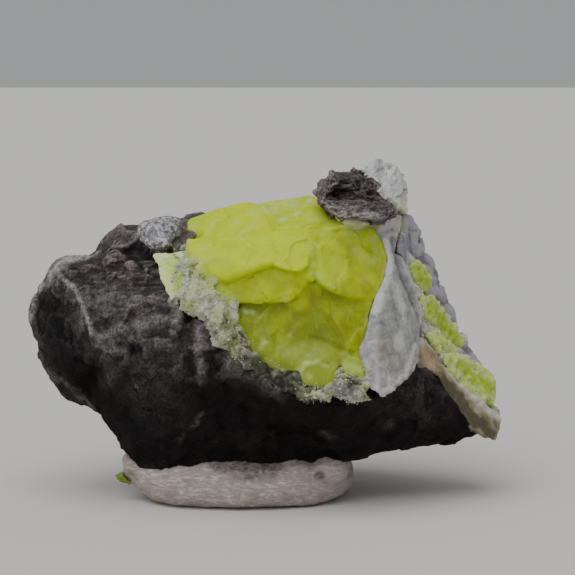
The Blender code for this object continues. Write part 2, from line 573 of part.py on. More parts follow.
def flank_crust(parts):
    """Grey, knobbly crust that sheathes the right flank, from the spar tip to the low sulfur."""
    upper_sheet = [
        (19.4, -1.0, 33.8), (20.0, 3.4, 34.0), (21.6, 4.6, 31.0), (22.8, 6.0, 27.2),
        (18.9, -2.9, 31.0), (19.2, -3.6, 28.6), (20.0, -4.2, 25.0), (17.4, 4.0, 33.0),
        (20.4, 8.0, 26.4), (17.6, -1.6, 25.4), (17.2, 0.0, 31.4),
    ]
    middle_sheet = [
        (22.5, 5.8, 27.6), (24.4, 7.0, 23.0), (26.4, 7.2, 19.0), (19.9, -4.0, 25.6),
        (20.6, -4.8, 22.4), (21.6, -4.2, 20.4), (24.6, -0.4, 17.6), (21.0, 8.8, 24.0),
        (23.4, 9.2, 18.0), (18.0, -2.0, 21.0), (21.6, 2.0, 17.0),
    ]
    lower_sheet = [
        (25.8, 6.8, 20.2), (28.4, 6.0, 15.2), (29.8, 5.0, 12.6), (23.6, -2.8, 17.8),
        (26.0, -0.6, 14.6), (28.6, 1.8, 11.8), (25.6, 8.4, 15.0), (27.6, 6.8, 11.6),
        (22.6, 1.0, 16.0), (26.0, 3.0, 11.6),
    ]
    grains = [
        (20.0, 3.4, 33.0, 1.2), (20.6, 4.2, 31.6, 1.3), (21.2, 4.9, 29.9, 1.3),
        (22.3, 5.8, 27.4, 1.6), (22.9, 6.6, 25.6, 1.8), (23.6, 7.0, 23.6, 1.6),
        (24.5, 7.0, 21.4, 1.7), (25.4, 7.0, 19.6, 1.6), (26.3, 6.4, 17.8, 1.5),
        (27.3, 6.0, 16.2, 1.5), (28.5, 5.4, 14.5, 1.4), (19.4, 0.8, 32.4, 1.2),
        (19.5, -0.6, 30.6, 1.1), (21.0, 3.0, 29.0, 1.4), (21.8, 4.2, 26.8, 1.5),
        (20.4, -1.6, 24.8, 1.2), (20.9, -2.4, 22.6, 1.1), (23.2, 4.6, 23.4, 1.6),
        (23.9, 4.2, 20.6, 1.6), (25.4, 4.6, 17.6, 1.5), (24.2, 1.4, 18.0, 1.1),
        (27.0, 4.6, 15.4, 1.4), (19.0, -2.6, 27.2, 0.9), (26.4, 2.0, 16.6, 1.0),
    ]
    lumps = [block(corners) for corners in (upper_sheet, middle_sheet, lower_sheet)]
    for number, (x, y, z, size) in enumerate(grains):
        lumps.append(knobbly((x, y, z), (0.85 * size, 1.2 * size, size), 9, turn=0.9 * number))
    crust = fused("flank_crust", lumps, parts, grain=0.4 * MM)
    roughen(crust, 1.8 * MM, 0.25 * MM, seed=8.2)
    thin_to(crust, 640)
    return crust


def calcite_band(parts):
    """Cream and tan calcite: the broken edge of the flank's layer, seen from the front."""
    upper = [
        (20.3, -7.8, 20.4), (21.7, -6.2, 20.4), (23.2, -5.4, 18.4), (24.2, -5.4, 16.4),
        (23.9, -6.6, 15.2), (22.3, -7.2, 16.4), (20.9, -8.0, 17.2), (22.6, -3.4, 17.6),
        (23.8, -3.0, 15.4), (20.8, -5.0, 18.4),
    ]
    lower = [
        (23.4, -5.6, 17.4), (25.4, -4.5, 14.4), (27.2, -3.1, 12.3), (29.0, -1.3, 10.9),
        (30.6, 0.4, 10.0), (31.6, 0.4, 9.6), (31.6, -0.6, 8.0), (31.1, -1.4, 6.6),
        (30.2, -2.2, 7.0), (28.7, -3.4, 7.6), (27.2, -4.6, 9.8), (25.9, -5.6, 11.6),
        (24.8, -6.2, 13.0), (23.4, -6.8, 15.2), (24.8, -2.6, 13.4), (28.4, 0.2, 9.6),
        (29.6, 1.4, 8.6), (27.4, -1.8, 9.8),
    ]
    back_edge = [
        (30.6, 0.4, 10.4), (31.7, 1.6, 10.0), (31.6, 1.2, 8.4), (31.1, 2.8, 10.9),
        (30.2, 3.8, 10.0), (29.2, 4.0, 9.0), (29.4, 0.6, 8.6), (31.0, 3.0, 10.6),
    ]
    lumps = [crystal(corners, 0.4 * MM) for corners in (upper, lower, back_edge)]
    band = fused("calcite_band", lumps, parts, grain=0.35 * MM)
    roughen(band, 2.0 * MM, 0.28 * MM, seed=2.9)
    thin_to(band, 460)
    return band


def limestone_cap(parts):
    """A curled flake of limestone left on top of the crystals, hollow towards the front."""
    shelf = [
        (8.7, -3.4, 36.6), (9.4, -5.4, 35.6), (10.4, -7.9, 34.9), (11.4, -8.4, 34.2),
        (13.2, -8.9, 34.6), (15.2, -8.9, 34.2), (16.9, -8.6, 33.7), (19.0, -5.4, 34.4),
        (19.1, -3.4, 35.4), (17.2, -2.6, 36.0), (12.0, -1.0, 36.4), (9.6, -6.8, 35.9),
        (13.0, -8.4, 35.6), (17.0, -7.6, 35.0), (11.4, -4.4, 33.4), (16.6, -5.0, 33.0),
        (11.4, 0.0, 34.4),
    ]
    west_rim = [
        (8.6, -3.0, 36.8), (9.2, -2.4, 38.0), (10.0, -1.6, 38.9), (10.9, -0.6, 39.6),
        (12.6, -3.2, 38.0), (12.4, -0.2, 36.2), (9.6, -5.6, 36.2), (11.2, -5.0, 37.8),
        (11.4, 0.8, 38.8),
    ]
    back_wall = [
        (10.6, -0.8, 39.4), (13.4, 0.8, 39.7), (14.6, 0.8, 39.2), (16.2, -0.2, 37.8),
        (17.4, -2.2, 36.0), (17.0, 0.6, 36.0), (11.4, 1.4, 36.4), (11.0, -1.8, 38.2),
        (16.0, 2.0, 36.0), (12.0, -1.2, 36.4), (10.6, 1.6, 34.2), (16.6, 1.6, 33.4),
    ]
    cap = fused("limestone_cap", [block(c) for c in (shelf, west_rim, back_wall)], parts, 0.4 * MM)
    dent(cap, [((13.8, -3.4, 37.2), 2.6, 0.7), ((10.4, -4.6, 37.6), 1.3, -0.4)])
    roughen(cap, 1.6 * MM, 0.4 * MM, seed=7.7)
    thin_to(cap, 430)
    return cap


# ---------------------------------------------------------------- the putty


def display_putty(parts):
    """A pressed pad of soft putty: flat below, swollen at its rim, pulled up at its left end."""
    rings = [
        # share of the full outline, height as a share of the putty's height
        (0.66, 0.0), (0.84, 0.0), (0.97, 0.16), (1.0, 0.40), (0.97, 0.68), (0.84, 0.92),
        (0.60, 1.0), (0.30, 1.0),
    ]
    sides = 18
    pad = bmesh.new()
    loops = []
    for share, level in rings:
        loop = []
        for number in range(sides):
            angle = math.tau * number / sides
            along, across = math.cos(angle), math.sin(angle)
            x = share * PUTTY_LENGTH / 2 * math.copysign(abs(along) ** 0.85, along)
            y = share * PUTTY_WIDTH / 2 * math.copysign(abs(across) ** 0.85, across)
            loop.append(pad.verts.new((x, y, level * PUTTY_HEIGHT)))
        loops.append(loop)
    for low, high in zip(loops, loops[1:]):
        for number in range(sides):
            following = (number + 1) % sides
            pad.faces.new((low[number], low[following], high[following], high[number]))
    pad.faces.new(loops[0][::-1])
    pad.faces.new(loops[-1])
    piece = object_from("display_putty", pad, parts)
    smooth = piece.modifiers.new("Smooth", "SUBSURF")
    smooth.levels = smooth.render_levels = 1
    settle(piece)

    def pull(place, normal):
        """The left end is drawn up off the table into a lip; the top sags a little."""
        reach = max(0.0, -place.x / MM - 8.0) / 6.0
        lift = 1.5 * MM * reach * reach * max(0.0, 1 - place.z / PUTTY_HEIGHT)
        lip = 0.9 * MM * reach * place.z / PUTTY_HEIGHT
        swell = 0.35 * MM * noise.noise(place / (4 * MM)) if place.z > 0.4 * MM else 0.0
        return Vector((0, 0, lift + lip)) + normal * swell

    shift_vertices(piece, pull)
    return thin_to(piece, 720)


def putty_crumb(parts):
    """A crumb of sulfur pressed into the putty's left end."""
    corners = [
        (-15.1, -3.6, 3.1), (-14.3, -4.5, 3.4), (-13.3, -4.7, 2.6), (-12.9, -4.2, 1.9),
        (-13.9, -4.1, 2.2), (-13.7, -3.0, 3.2), (-13.2, -3.1, 2.3),
    ]
    return welded("putty_crumb", [crystal(corners, 0.1 * MM)], parts)


# ---------------------------------------------------------------- assembly


def main():
    clear_scene()
    noise.seed_set(FACET_SEED)
    parts = new_collection("native_sulfur_on_limestone")
    cutters = new_collection("cutters")

    stone = limestone(parts)
    pocket = sulfur_pocket(parts)
    slab = sulfur_slab(parts)
    upper, middle, lower = sulfur_flank(parts)
    plate = gypsum_plate(parts)
    tip = spar_tip(parts)
    knob = spar_knob(parts)
    edging = pocket_crust(parts)
    side_crust = flank_crust(parts)
    band = calcite_band(parts)
    cap = limestone_cap(parts)
    putty = display_putty(parts)
    crumb = putty_crumb(parts)

    make_room(slab, [pocket], cutters)
    make_room(knob, [slab, pocket], cutters)
    make_room(plate, [pocket], cutters)
    make_room(cap, [pocket, plate], cutters)
    make_room(tip, [cap, plate], cutters)
    make_room(edging, [pocket, slab, plate], cutters)
    make_room(band, [lower, plate], cutters)
    make_room(side_crust, [upper, middle, lower, plate, tip, cap, band], cutters, faces=700)
    make_room(
        stone,
        [pocket, slab, plate, tip, knob, edging, cap, band, side_crust, upper, middle, lower],
        cutters,
        faces=1050,
    )
    make_room(putty, [stone, crumb], cutters, faces=900)

    finish(stone, (0.060, 0.052, 0.048), 0.9)
    for crystals in (pocket, upper, middle, lower, crumb):
        finish(crystals, (0.56, 0.60, 0.03), 0.3)
    finish(slab, (0.55, 0.66, 0.20), 0.45)
    finish(plate, (0.45, 0.45, 0.42), 0.25)
    finish(tip, (0.60, 0.61, 0.55), 0.3)
    finish(knob, (0.34, 0.32, 0.28), 0.4)
    finish(edging, (0.50, 0.54, 0.42), 0.7)
    finish(side_crust, (0.34, 0.34, 0.34), 0.5)
    finish(band, (0.48, 0.38, 0.26), 0.5)
    finish(cap, (0.10, 0.09, 0.085), 0.9)
    finish(putty, (0.52, 0.45, 0.43), 0.75)


main()
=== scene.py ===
"""Native sulfur grown on dark limestone, standing on a pad of display putty.

The sections below follow the specimen as it was formed and mounted: the stone, the sulfur in
its pocket, the clear and granular minerals around it, and last the putty. Lengths in lists are
millimetres: x to the right, y to the back, z up, from the middle of the putty's underside.
"""

import math
from random import Random

import bmesh
import bpy
import numpy as np
from mathutils import Matrix, Vector, noise
from mathutils.bvhtree import BVHTree


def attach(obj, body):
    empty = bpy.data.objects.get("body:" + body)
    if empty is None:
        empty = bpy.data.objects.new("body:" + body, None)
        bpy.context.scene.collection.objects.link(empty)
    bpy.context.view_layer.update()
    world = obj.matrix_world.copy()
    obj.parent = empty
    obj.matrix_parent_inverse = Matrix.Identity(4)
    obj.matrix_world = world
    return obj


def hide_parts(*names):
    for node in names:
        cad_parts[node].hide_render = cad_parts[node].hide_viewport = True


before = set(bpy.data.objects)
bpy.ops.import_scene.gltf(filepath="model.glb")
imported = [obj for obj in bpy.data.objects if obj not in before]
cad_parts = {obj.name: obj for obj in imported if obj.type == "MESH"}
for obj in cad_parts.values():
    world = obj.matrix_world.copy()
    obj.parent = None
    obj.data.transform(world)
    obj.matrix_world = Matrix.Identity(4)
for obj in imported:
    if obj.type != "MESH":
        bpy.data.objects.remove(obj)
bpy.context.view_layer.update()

MM = 0.001


# ---- Camera
# A long lens, a little above the specimen and straight on to the pocket of sulfur.

aim = Vector((5.7, 0.0, 25.25)) * MM
downward = math.radians(6.0)
towards_camera = Vector((0.0, -math.cos(downward), math.sin(downward)))
lens = bpy.data.cameras.new("long_lens")
lens.lens = 135.0
lens.sensor_width = 36.0
lens.clip_start = 0.01
camera = bpy.data.objects.new("camera", lens)
camera.location = aim + 258.75 * MM * towards_camera
camera.rotation_euler = towards_camera.to_track_quat("Z", "Y").to_euler()
bpy.context.scene.collection.objects.link(camera)
bpy.context.scene.camera = camera


# ---- Table and light
# A sheet of pale matt card, a wide softbox overhead and a weaker one in front. The card is
# plain, so that it throws even light back without any pattern.


def linear(colour):
    """An sRGB hex colour in linear light, fully opaque."""
    shares = [int(colour[at:at + 2], 16) / 255 for at in (1, 3, 5)]
    return (*[s / 12.92 if s <= 0.04045 else ((s + 0.055) / 1.055) ** 2.4 for s in shares], 1.0)


def output_of(source):
    """A node's first output; an output is returned as it is."""
    return source.outputs[0] if isinstance(source, bpy.types.Node) else source


def add(finish, kind, sockets=(), stops=(), **settings):
    """Adds one node; a socket takes a value, a node or an output, and stops fill a ramp."""
    node = finish.node_tree.nodes.new("ShaderNode" + kind)
    for name, value in settings.items():
        setattr(node, name, value)
    for at, (place, colour) in enumerate(stops):
        ramp = node.color_ramp.elements
        stop = ramp[at] if at < 2 else ramp.new(place)
        stop.position = place
        stop.color = linear(colour) if isinstance(colour, str) else (colour, colour, colour, 1.0)
    for name, value in dict(sockets).items():
        if isinstance(value, (bpy.types.Node, bpy.types.NodeSocket)):
            finish.node_tree.links.new(output_of(value), node.inputs[name])
        else:
            node.inputs[name].default_value = value
    return node


def new_finish(name, **shader_values):
    """A material with one surface shader, and its object coordinates."""
    finish = bpy.data.materials.new(name)
    finish.use_nodes = True
    shader = finish.node_tree.nodes["Principled BSDF"]
    for socket, value in shader_values.items():
        shader.inputs[socket.replace("_", " ")].default_value = value
    return finish, add(finish, "TexCoord").outputs["Object"]


def piece_from(name, shape):
    """A new piece with the bmesh's shape; the bmesh is freed."""
    mesh = bpy.data.meshes.new(name)
    shape.to_mesh(mesh)
    shape.free()
    made = bpy.data.objects.new(name, mesh)
    bpy.context.scene.collection.objects.link(made)
    return made


table_reach = 4.0  # metres from the middle to each edge, past anything the lens can see
sheet = bmesh.new()
bmesh.ops.create_grid(sheet, x_segments=4, y_segments=4, size=table_reach)
table = piece_from("card", sheet)
card_finish, _ = new_finish(
    "pale_matt_card", Base_Color=linear("#DAD8D5"), Roughness=0.95, Specular_IOR_Level=0.1)
table.data.materials.append(card_finish)

studio = bpy.data.worlds.new("studio")
studio.use_nodes = True
studio.node_tree.nodes["Background"].inputs["Color"].default_value = linear("#DCDDDF")
studio.node_tree.nodes["Background"].inputs["Strength"].default_value = 0.50
bpy.context.scene.world = studio

softboxes = [
    # name, where it hangs in mm, how wide it looks in degrees, strength
    ("softbox_above", (-160, -260, 700), 60, 1.75),
    ("softbox_front", (-260, -700, 260), 50, 0.45),
]
for name, hung, width, strength in softboxes:
    box = bpy.data.lights.new(name, "SUN")
    box.angle = math.radians(width)
    box.energy = strength
    lamp = bpy.data.objects.new(name, box)
    lamp.location = Vector(hung) * MM
    lamp.rotation_euler = lamp.location.to_track_quat("Z", "Y").to_euler()
    bpy.context.scene.collection.objects.link(lamp)


# ---- Limestone
# The matrix: dark marly limestone, broken by hand into blunt facets. Thin bedding shows as
# fine steps on its upper left and ridges are dusty and pale. Hollows, the lower part and the
# left face are painted darker as shade, and the left rim carries a painted highlight.


def skinned(piece, grain, rounds):
    """One even skin of small faces over the piece, eased by some rounds of smoothing."""
    skin = piece.modifiers.new("Skin", "REMESH")
    skin.mode = "VOXEL"
    skin.voxel_size = grain * MM
    eased = piece.modifiers.new("Eased", "SMOOTH")
    eased.factor = 0.5
    eased.iterations = rounds
    bpy.context.view_layer.update()
    graph = bpy.context.evaluated_depsgraph_get()
    mesh = bpy.data.meshes.new_from_object(piece.evaluated_get(graph))
    piece.modifiers.clear()
    piece.data = mesh
    return piece


def fine_copy(name, node, grain, rounds, grown=()):
    """A finely meshed copy of a solid, its coarse facets eased, with more lumps grown into it.

    A lump is (x, y, z, radius) or (x, y, z, three radii), in millimetres."""
    same_corner = 0.002  # the solid's triangles are loose; corners this near are one
    shape = bmesh.new()
    shape.from_mesh(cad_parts[node].data)
    bmesh.ops.remove_doubles(shape, verts=shape.verts, dist=same_corner * MM)
    for x, y, z, *radii in grown:
        size = Vector(radii * 3 if len(radii) == 1 else radii)
        placed = Matrix.LocRotScale(Vector((x, y, z)) * MM, None, size * MM)
        bmesh.ops.create_icosphere(shape, subdivisions=2, radius=1.0, matrix=placed)
    return skinned(piece_from(name, shape), grain, rounds)


def places(piece):
    """Where every vertex is, in millimetres."""
    flat = np.empty(len(piece.data.vertices) * 3, np.float32)
    piece.data.vertices.foreach_get("co", flat)
    return flat.reshape(-1, 3).astype(float) / MM


def outward(piece):
    """Which way the surface faces at every vertex."""
    flat = np.empty(len(piece.data.vertices) * 3, np.float32)
    piece.data.vertex_normals.foreach_get("vector", flat)
    return flat.reshape(-1, 3).astype(float)


def put(piece, where):
    """Moves the vertices to new places, in millimetres."""
    piece.data.vertices.foreach_set("co", (where * MM).astype(np.float32).ravel())
    piece.data.update()


def raise_skin(piece, height):
    """Lifts every vertex along its normal by its own height, in millimetres.

    It returns where the vertices are now."""
    put(piece, places(piece) + outward(piece) * height[:, None])
    return places(piece)


def kept_within(piece, axis, least=-math.inf, most=math.inf):
    """Holds the skin between two limits along x (0), y (1) or z (2), in millimetres.

    It returns where the vertices are now."""
    where = places(piece)
    where[:, axis] = np.clip(where[:, axis], least, most)
    put(piece, where)
    return where


def lumps(where, size, seed=0.0, octaves=3):
    """Noise about -1 to 1 at each place, with lumps of that size in millimetres."""
    fading, finer = 0.9, 2.1  # how fast each finer octave fades, and how much finer it is
    spots = where / size + np.array((seed, 2.7 * seed, -1.9 * seed))
    return np.array([noise.fractal(spot, fading, finer, octaves) for spot in spots.tolist()])


def jostled(where, amount, size, first_seed):
    """The places shifted about a little, so that strokes drawn on them get ragged edges."""
    seeds = first_seed, first_seed + 1, first_seed + 2
    return where + amount * np.stack([lumps(where, size, seed, 2) for seed in seeds], axis=1)


def facets(where, size, seed=0.0):
    """Broken facets: cells of that size, each tilted its own way, about -1 to 1."""
    spots = where / size + np.array((seed, -seed, 1.7 * seed))
    heights = np.empty(len(spots))
    # one place in the noise for each part of a tilt, far enough apart to be unrelated
    shifts = Vector((9.3, -1.5, -7.9)), Vector((0.0, 0.0, 0.0)), Vector((6.3, 0.2, -2.7))
    tilts = {}
    for at, spot in enumerate(spots.tolist()):
        near = noise.voronoi(spot)[1][0]
        cell = near[:]
        if cell not in tilts:
            tilts[cell] = Vector([noise.noise(near * 5.1 + shift) for shift in shifts]).normalized()
        heights[at] = (Vector(spot) - near).dot(tilts[cell])
    return heights


def strokes(where, *lines):
    """How strongly each place is touched by strokes of (radius, strength, point, point...)."""
    total = np.zeros(len(where))
    for radius, strength, *points in lines:
        spots = np.array(points, float)
        near = np.linalg.norm(where - spots[0], axis=1)
        for start, end in zip(spots, spots[1:]):
            run = end - start
            along = np.clip((where - start) @ run / (run @ run), 0, 1)
            near = np.minimum(near, np.linalg.norm(where - start - along[:, None] * run, axis=1))
        share = np.clip(1 - near / radius, 0, 1)
        total = np.maximum(total, strength * share * share * (3 - 2 * share))
    return total


def averaged(piece, values, rounds):
    """Spreads values over the skin: each round, a vertex takes the mean of its neighbours."""
    pairs = np.empty(len(piece.data.edges) * 2, np.int32)
    piece.data.edges.foreach_get("vertices", pairs)
    one, two = pairs.reshape(-1, 2).T
    total = len(piece.data.vertices)
    count = np.bincount(one, minlength=total) + np.bincount(two, minlength=total)
    for _ in range(rounds):
        values = np.bincount(one, values[two], total) + np.bincount(two, values[one], total)
        values /= count
    return values


def proud(piece, rounds):
    """How far each vertex stands above (+) or lies below (-) its surroundings, in millimetres."""
    where = places(piece)
    soft = np.stack([averaged(piece, where[:, axis], rounds) for axis in range(3)], axis=1)
    return ((where - soft) * outward(piece)).sum(axis=1)


def close_up(piece, nodes, reach=1.3, most=0.55):
    """Closes the hairline gaps: skin within reach of those solids moves up against them.

    No vertex moves further than most; reach and most are millimetres."""
    corners, faces = [], []
    for node in nodes:
        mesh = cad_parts[node].data
        faces += [[corner + len(corners) for corner in face.vertices] for face in mesh.polygons]
        corners += [vertex.co.copy() for vertex in mesh.vertices]
    tree = BVHTree.FromPolygons(corners, faces)
    where = places(piece)
    for at, place in enumerate(where):
        near, _, _, distance = tree.find_nearest(Vector(place) * MM, reach * MM)
        if near is not None and distance > 0:
            gap = distance / MM
            share = min(1.0, 2.0 * (1 - gap / reach))  # fades out over the outer half
            where[at] += (np.array(near) / MM - place) / gap * min(gap, most) * share
    put(piece, where)


def paint(piece, name, amount):
    """Stores a painted amount from 0 to 1 at every vertex."""
    layer = piece.data.attributes.new(name, "FLOAT", "POINT")
    layer.data.foreach_set("value", np.clip(amount, 0, 1).astype(np.float32))


def finished(piece, finish, slot, *nodes, flat=False):
    """Gives the piece its material and shading, and sets it in place of its solids."""
    piece.data.materials.clear()
    piece.data.materials.append(finish)
    piece.data.polygons.foreach_set("use_smooth", [not flat] * len(piece.data.polygons))
    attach(piece, "root")
    if nodes:
        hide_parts(*nodes)


def scale_for(size):
    """The texture scale that makes a pattern's features about that many millimetres."""
    return 1 / (size * MM)


def coated(finish, base, *coats, blend="MIX"):
    """The base colour under thin coats: each has a painted name, or a socket, and a colour."""
    for share, colour in coats:
        if isinstance(share, str):
            share = add(finish, "Attribute", attribute_name=share).outputs["Fac"]
        base = add(finish, "Mix", {0: share, 6: base, 7: linear(colour)}, data_type="RGBA",
                   blend_type=blend).outputs[2]
    return base


def connect(finish, **sources):
    """Feeds nodes to the surface shader's sockets."""
    shader = finish.node_tree.nodes["Principled BSDF"]
    for socket, source in sources.items():
        finish.node_tree.links.new(output_of(source), shader.inputs[socket.replace("_", " ")])


stone = fine_copy("limestone_matrix_stone", "limestone_matrix", 0.28, 3)
close_up(stone, [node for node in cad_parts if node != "limestone_matrix"])
where = places(stone)
frayed = jostled(where, 0.5, 1.4, 21)
vein = [(-21.6, -2.7, 27.2), (-20.5, -4.1, 26.5), (-19.4, -5.8, 25.8), (-18.3, -7.4, 24.1),
        (-17.5, -8.7, 22.2), (-17.0, -9.4, 20.6)]
spur = [(-16.4, -9.7, 19.6), (-14.8, -10.5, 19.3), (-13.0, -10.9, 18.7)]
bedded = strokes(
    where,
    (6.0, 1.0, (-19.0, -3.0, 27.6), (-14.0, -6.5, 27.2), (-9.5, -8.5, 26.8)),
    (5.0, 1.0, (-15.0, -8.0, 24.6), (-9.5, -10.0, 24.8)),
    (6.0, 0.7, (-12.0, 4.0, 31.5), (0.0, 10.0, 32.0), (10.0, 10.0, 32.0)),
    (7.0, 0.6, (-16.0, 12.0, 20.0), (-4.0, 17.0, 18.0), (10.0, 17.0, 17.0)),
)
bed = where @ np.array((0.10, 0.16, 0.98)) + 0.30 * lumps(where, 3.5, 2.2, 2)
step = (bed / 0.62) % 1.0
# each line is a height in millimetres times a pattern, and a pattern is given its size and seed
height = (
    0.07 * bedded * (np.minimum(step, 4 * (1 - step)) - 0.4)
    + 0.34 * facets(where, 4.4, 1.3)
    + 0.16 * facets(where, 1.7, 4.1)
    + 0.10 * lumps(where, 2.6, 0.4, 2)
    + 0.045 * lumps(where, 0.9, 3.0, 2)
    + 0.035 * lumps(where, 0.42, 6.0, 2)
)
ridges = strokes(
    frayed,
    (0.6, 0.16, *vein),
    (0.9, 0.12, (-16.3, -9.9, 20.5), (-13.9, -10.4, 21.5), (-11.1, -11.8, 22.3),
     (-8.4, -12.1, 23.0)),
    (0.7, 0.12, *spur),
    (0.6, 0.16, (-7.1, -11.2, 24.3), (-7.2, -12.2, 22.8), (-7.2, -12.4, 21.2)),
    (1.2, 0.28, (-4.4, -12.3, 22.0), (-4.2, -13.1, 20.0), (-4.2, -13.3, 18.0), (-4.6, -12.6, 15.8)),
    (0.7, 0.14, (-6.8, -9.3, 8.4), (-5.4, -10.6, 10.4), (-4.0, -11.3, 11.5), (-2.8, -11.5, 12.2)),
)
pits = strokes(
    frayed,
    (1.6, 0.55, (-11.8, -11.7, 19.1)),
    (1.2, 0.50, (-18.6, -6.9, 17.5)),
    (1.3, 0.60, (-6.2, -11.0, 24.0), (-5.5, -12.0, 23.0)),
    (1.8, 0.60, (-2.1, -13.2, 19.5), (-3.0, -13.5, 16.4)),
    (1.5, 0.40, (-13.6, -5.2, 29.4)),
    (1.2, 0.35, (1.0, -13.4, 14.6), (4.6, -13.2, 13.4)),
)
raise_skin(stone, height + ridges - pits)

where = kept_within(stone, 0, least=-25.45)
frayed = jostled(where, 0.5, 1.4, 21)
broad, fine = proud(stone, 16), proud(stone, 3)
ragged = 0.75 + 0.6 * lumps(where, 0.7, 9.0)
high = np.clip((where[:, 2] - 13.0) / 14.0, 0.0, 1.0)
paint(stone, "worn", (1.5 * np.clip(broad, 0, 1) + 3.0 * np.clip(fine, 0, 1)) * (0.3 + 0.9 * high))
# painted shade: darker in the hollows
paint(stone, "painted_hollow_shade", -2.2 * np.clip(broad, -1, 0) - 4.0 * np.clip(fine, -1, 0) - 0.05)
# painted shade: darker towards the bottom, under the pocket and on the left face
lowness = 1 - np.clip((where[:, 2] - 9.0 + 1.5 * lumps(where, 4.0, 7.0, 2)) / 12.0, 0, 1)
paint(stone, "foot", 1.1 * lowness + 0.3 * lumps(where, 3.0, 5.0, 2) - 0.1 + strokes(
    where,
    (6.0, 1.0, (-22.6, -3.3, 22.4), (-21.2, -4.7, 18.3), (-19.4, -5.5, 15.8)),
    (5.0, 0.8, (-3.0, -13.0, 13.0), (4.0, -12.6, 11.6), (12.0, -11.0, 11.0)),
    (3.2, 0.5, (-19.9, -5.5, 20.4), (-17.9, -7.7, 17.7), (-16.0, -6.0, 12.5)),
))
paint(stone, "bedded", 0.25 + 0.75 * bedded)
# the pale vein and pale patches, and a painted highlight along the left rim
paint(stone, "pale", ragged * strokes(
    frayed,
    (0.5, 0.25, *vein),
    (2.4, 1.4, (-22.8, -1.4, 27.2), (-21.6, -1.0, 28.4), (-20.4, -0.2, 29.0), (-19.0, 0.2, 29.0)),
    (1.0, 1.1, (-25.4, -0.9, 21.6), (-25.0, -0.8, 24.1), (-23.8, -1.2, 25.9), (-22.6, -1.2, 27.4),
     (-20.0, 0.8, 29.0), (-17.4, 1.0, 29.4)),
    (0.8, 0.22, (-24.6, 1.0, 16.9), (-22.9, -0.6, 15.0), (-20.4, -2.8, 13.6), (-17.6, -3.2, 11.4)),
    (1.3, 0.26, (-16.3, -9.9, 20.5), (-13.9, -10.6, 21.5), (-11.1, -11.9, 22.3),
     (-8.4, -12.3, 23.0)),
    (0.8, 0.26, *spur),
    (0.7, 0.34, (-7.1, -11.3, 24.3), (-7.2, -12.3, 22.8), (-7.2, -12.5, 21.2)),
    (2.6, 0.22, (-17.0, -7.8, 24.4), (-12.0, -9.2, 25.0), (-9.4, -9.6, 26.6)),
    (0.6, 0.16, (-6.8, -9.3, 8.4), (-5.4, -10.6, 10.4), (-4.0, -11.4, 11.5)),
    (1.5, 0.14, (10.1, -10.2, 9.1)), (1.2, 0.2, (17.7, -7.9, 9.9)),
    (3.5, 0.55, (12.0, 15.0, 24.0), (16.0, 12.0, 20.0)),
    (2.0, 0.60, (-8.0, 15.5, 24.0), (-3.0, 17.0, 21.0), (3.0, 18.0, 20.0)),
) + (0.8 + 0.4 * lumps(where, 0.8, 8.0)) * strokes(where, (0.36, 0.65, *vein)))
paint(stone, "powder", ragged * strokes(
    frayed,
    (1.3, 0.55, (-4.4, -12.4, 21.6), (-4.2, -13.2, 20.0), (-4.2, -13.4, 18.2), (-4.5, -12.9, 16.0)),
    (2.6, 0.45, (-16.3, 1.6, 31.4), (-13.0, 1.0, 32.2)),
    (1.6, 0.35, (-3.0, -13.0, 12.4), (-7.0, -11.0, 12.0)),
))
paint(stone, "rust", ragged * strokes(
    frayed,
    (2.2, 0.8, (-14.8, -4.3, 29.8), (-13.4, -5.3, 29.2)), (1.8, 0.6, (-16.4, -4.0, 28.7)),
    (2.6, 0.6, (-15.5, -6.2, 12.0)), (3.0, 0.5, (-16.3, -7.2, 16.1)),
    (3.2, 0.6, (1.0, -13.4, 13.6), (9.0, -11.6, 11.0)), (3.0, 0.5, (13.9, -11.3, 10.9)),
    (2.6, 0.5, (-8.0, -9.6, 11.0)), (4.0, 0.5, (-14.0, 12.0, 15.0)), (4.0, 0.5, (6.0, 17.0, 12.0)),
))
paint(stone, "olive", ragged * strokes(
    frayed,
    (1.2, 1.0, (-1.6, -13.6, 19.0), (0.3, -13.7, 17.1), (2.0, -14.1, 16.2), (3.9, -14.3, 15.4),
     (6.0, -14.2, 14.5), (8.6, -14.0, 13.9), (11.0, -13.9, 13.9), (13.4, -13.4, 13.9)),
    (2.4, 0.55, (-7.6, -12.4, 18.6)), (2.8, 0.5, (-11.3, -10.2, 14.1)),
    (2.4, 0.5, (-12.6, -9.2, 12.0)), (2.4, 0.4, (-10.4, -11.8, 21.0)),
))
paint(stone, "slate", ragged * strokes(
    frayed,
    (3.4, 0.85, (-23.0, -2.9, 21.2), (-21.4, -4.4, 19.5), (-20.4, -5.5, 17.7)),
    (3.6, 0.7, (-12.4, -7.5, 9.0), (-9.0, -8.6, 7.9)), (3.4, 0.6, (-8.0, -11.2, 13.4)),
    (1.9, 0.7, (-11.8, -11.7, 19.1)), (5.0, 0.6, (-2.0, 16.0, 14.0), (8.0, 17.0, 20.0)),
))

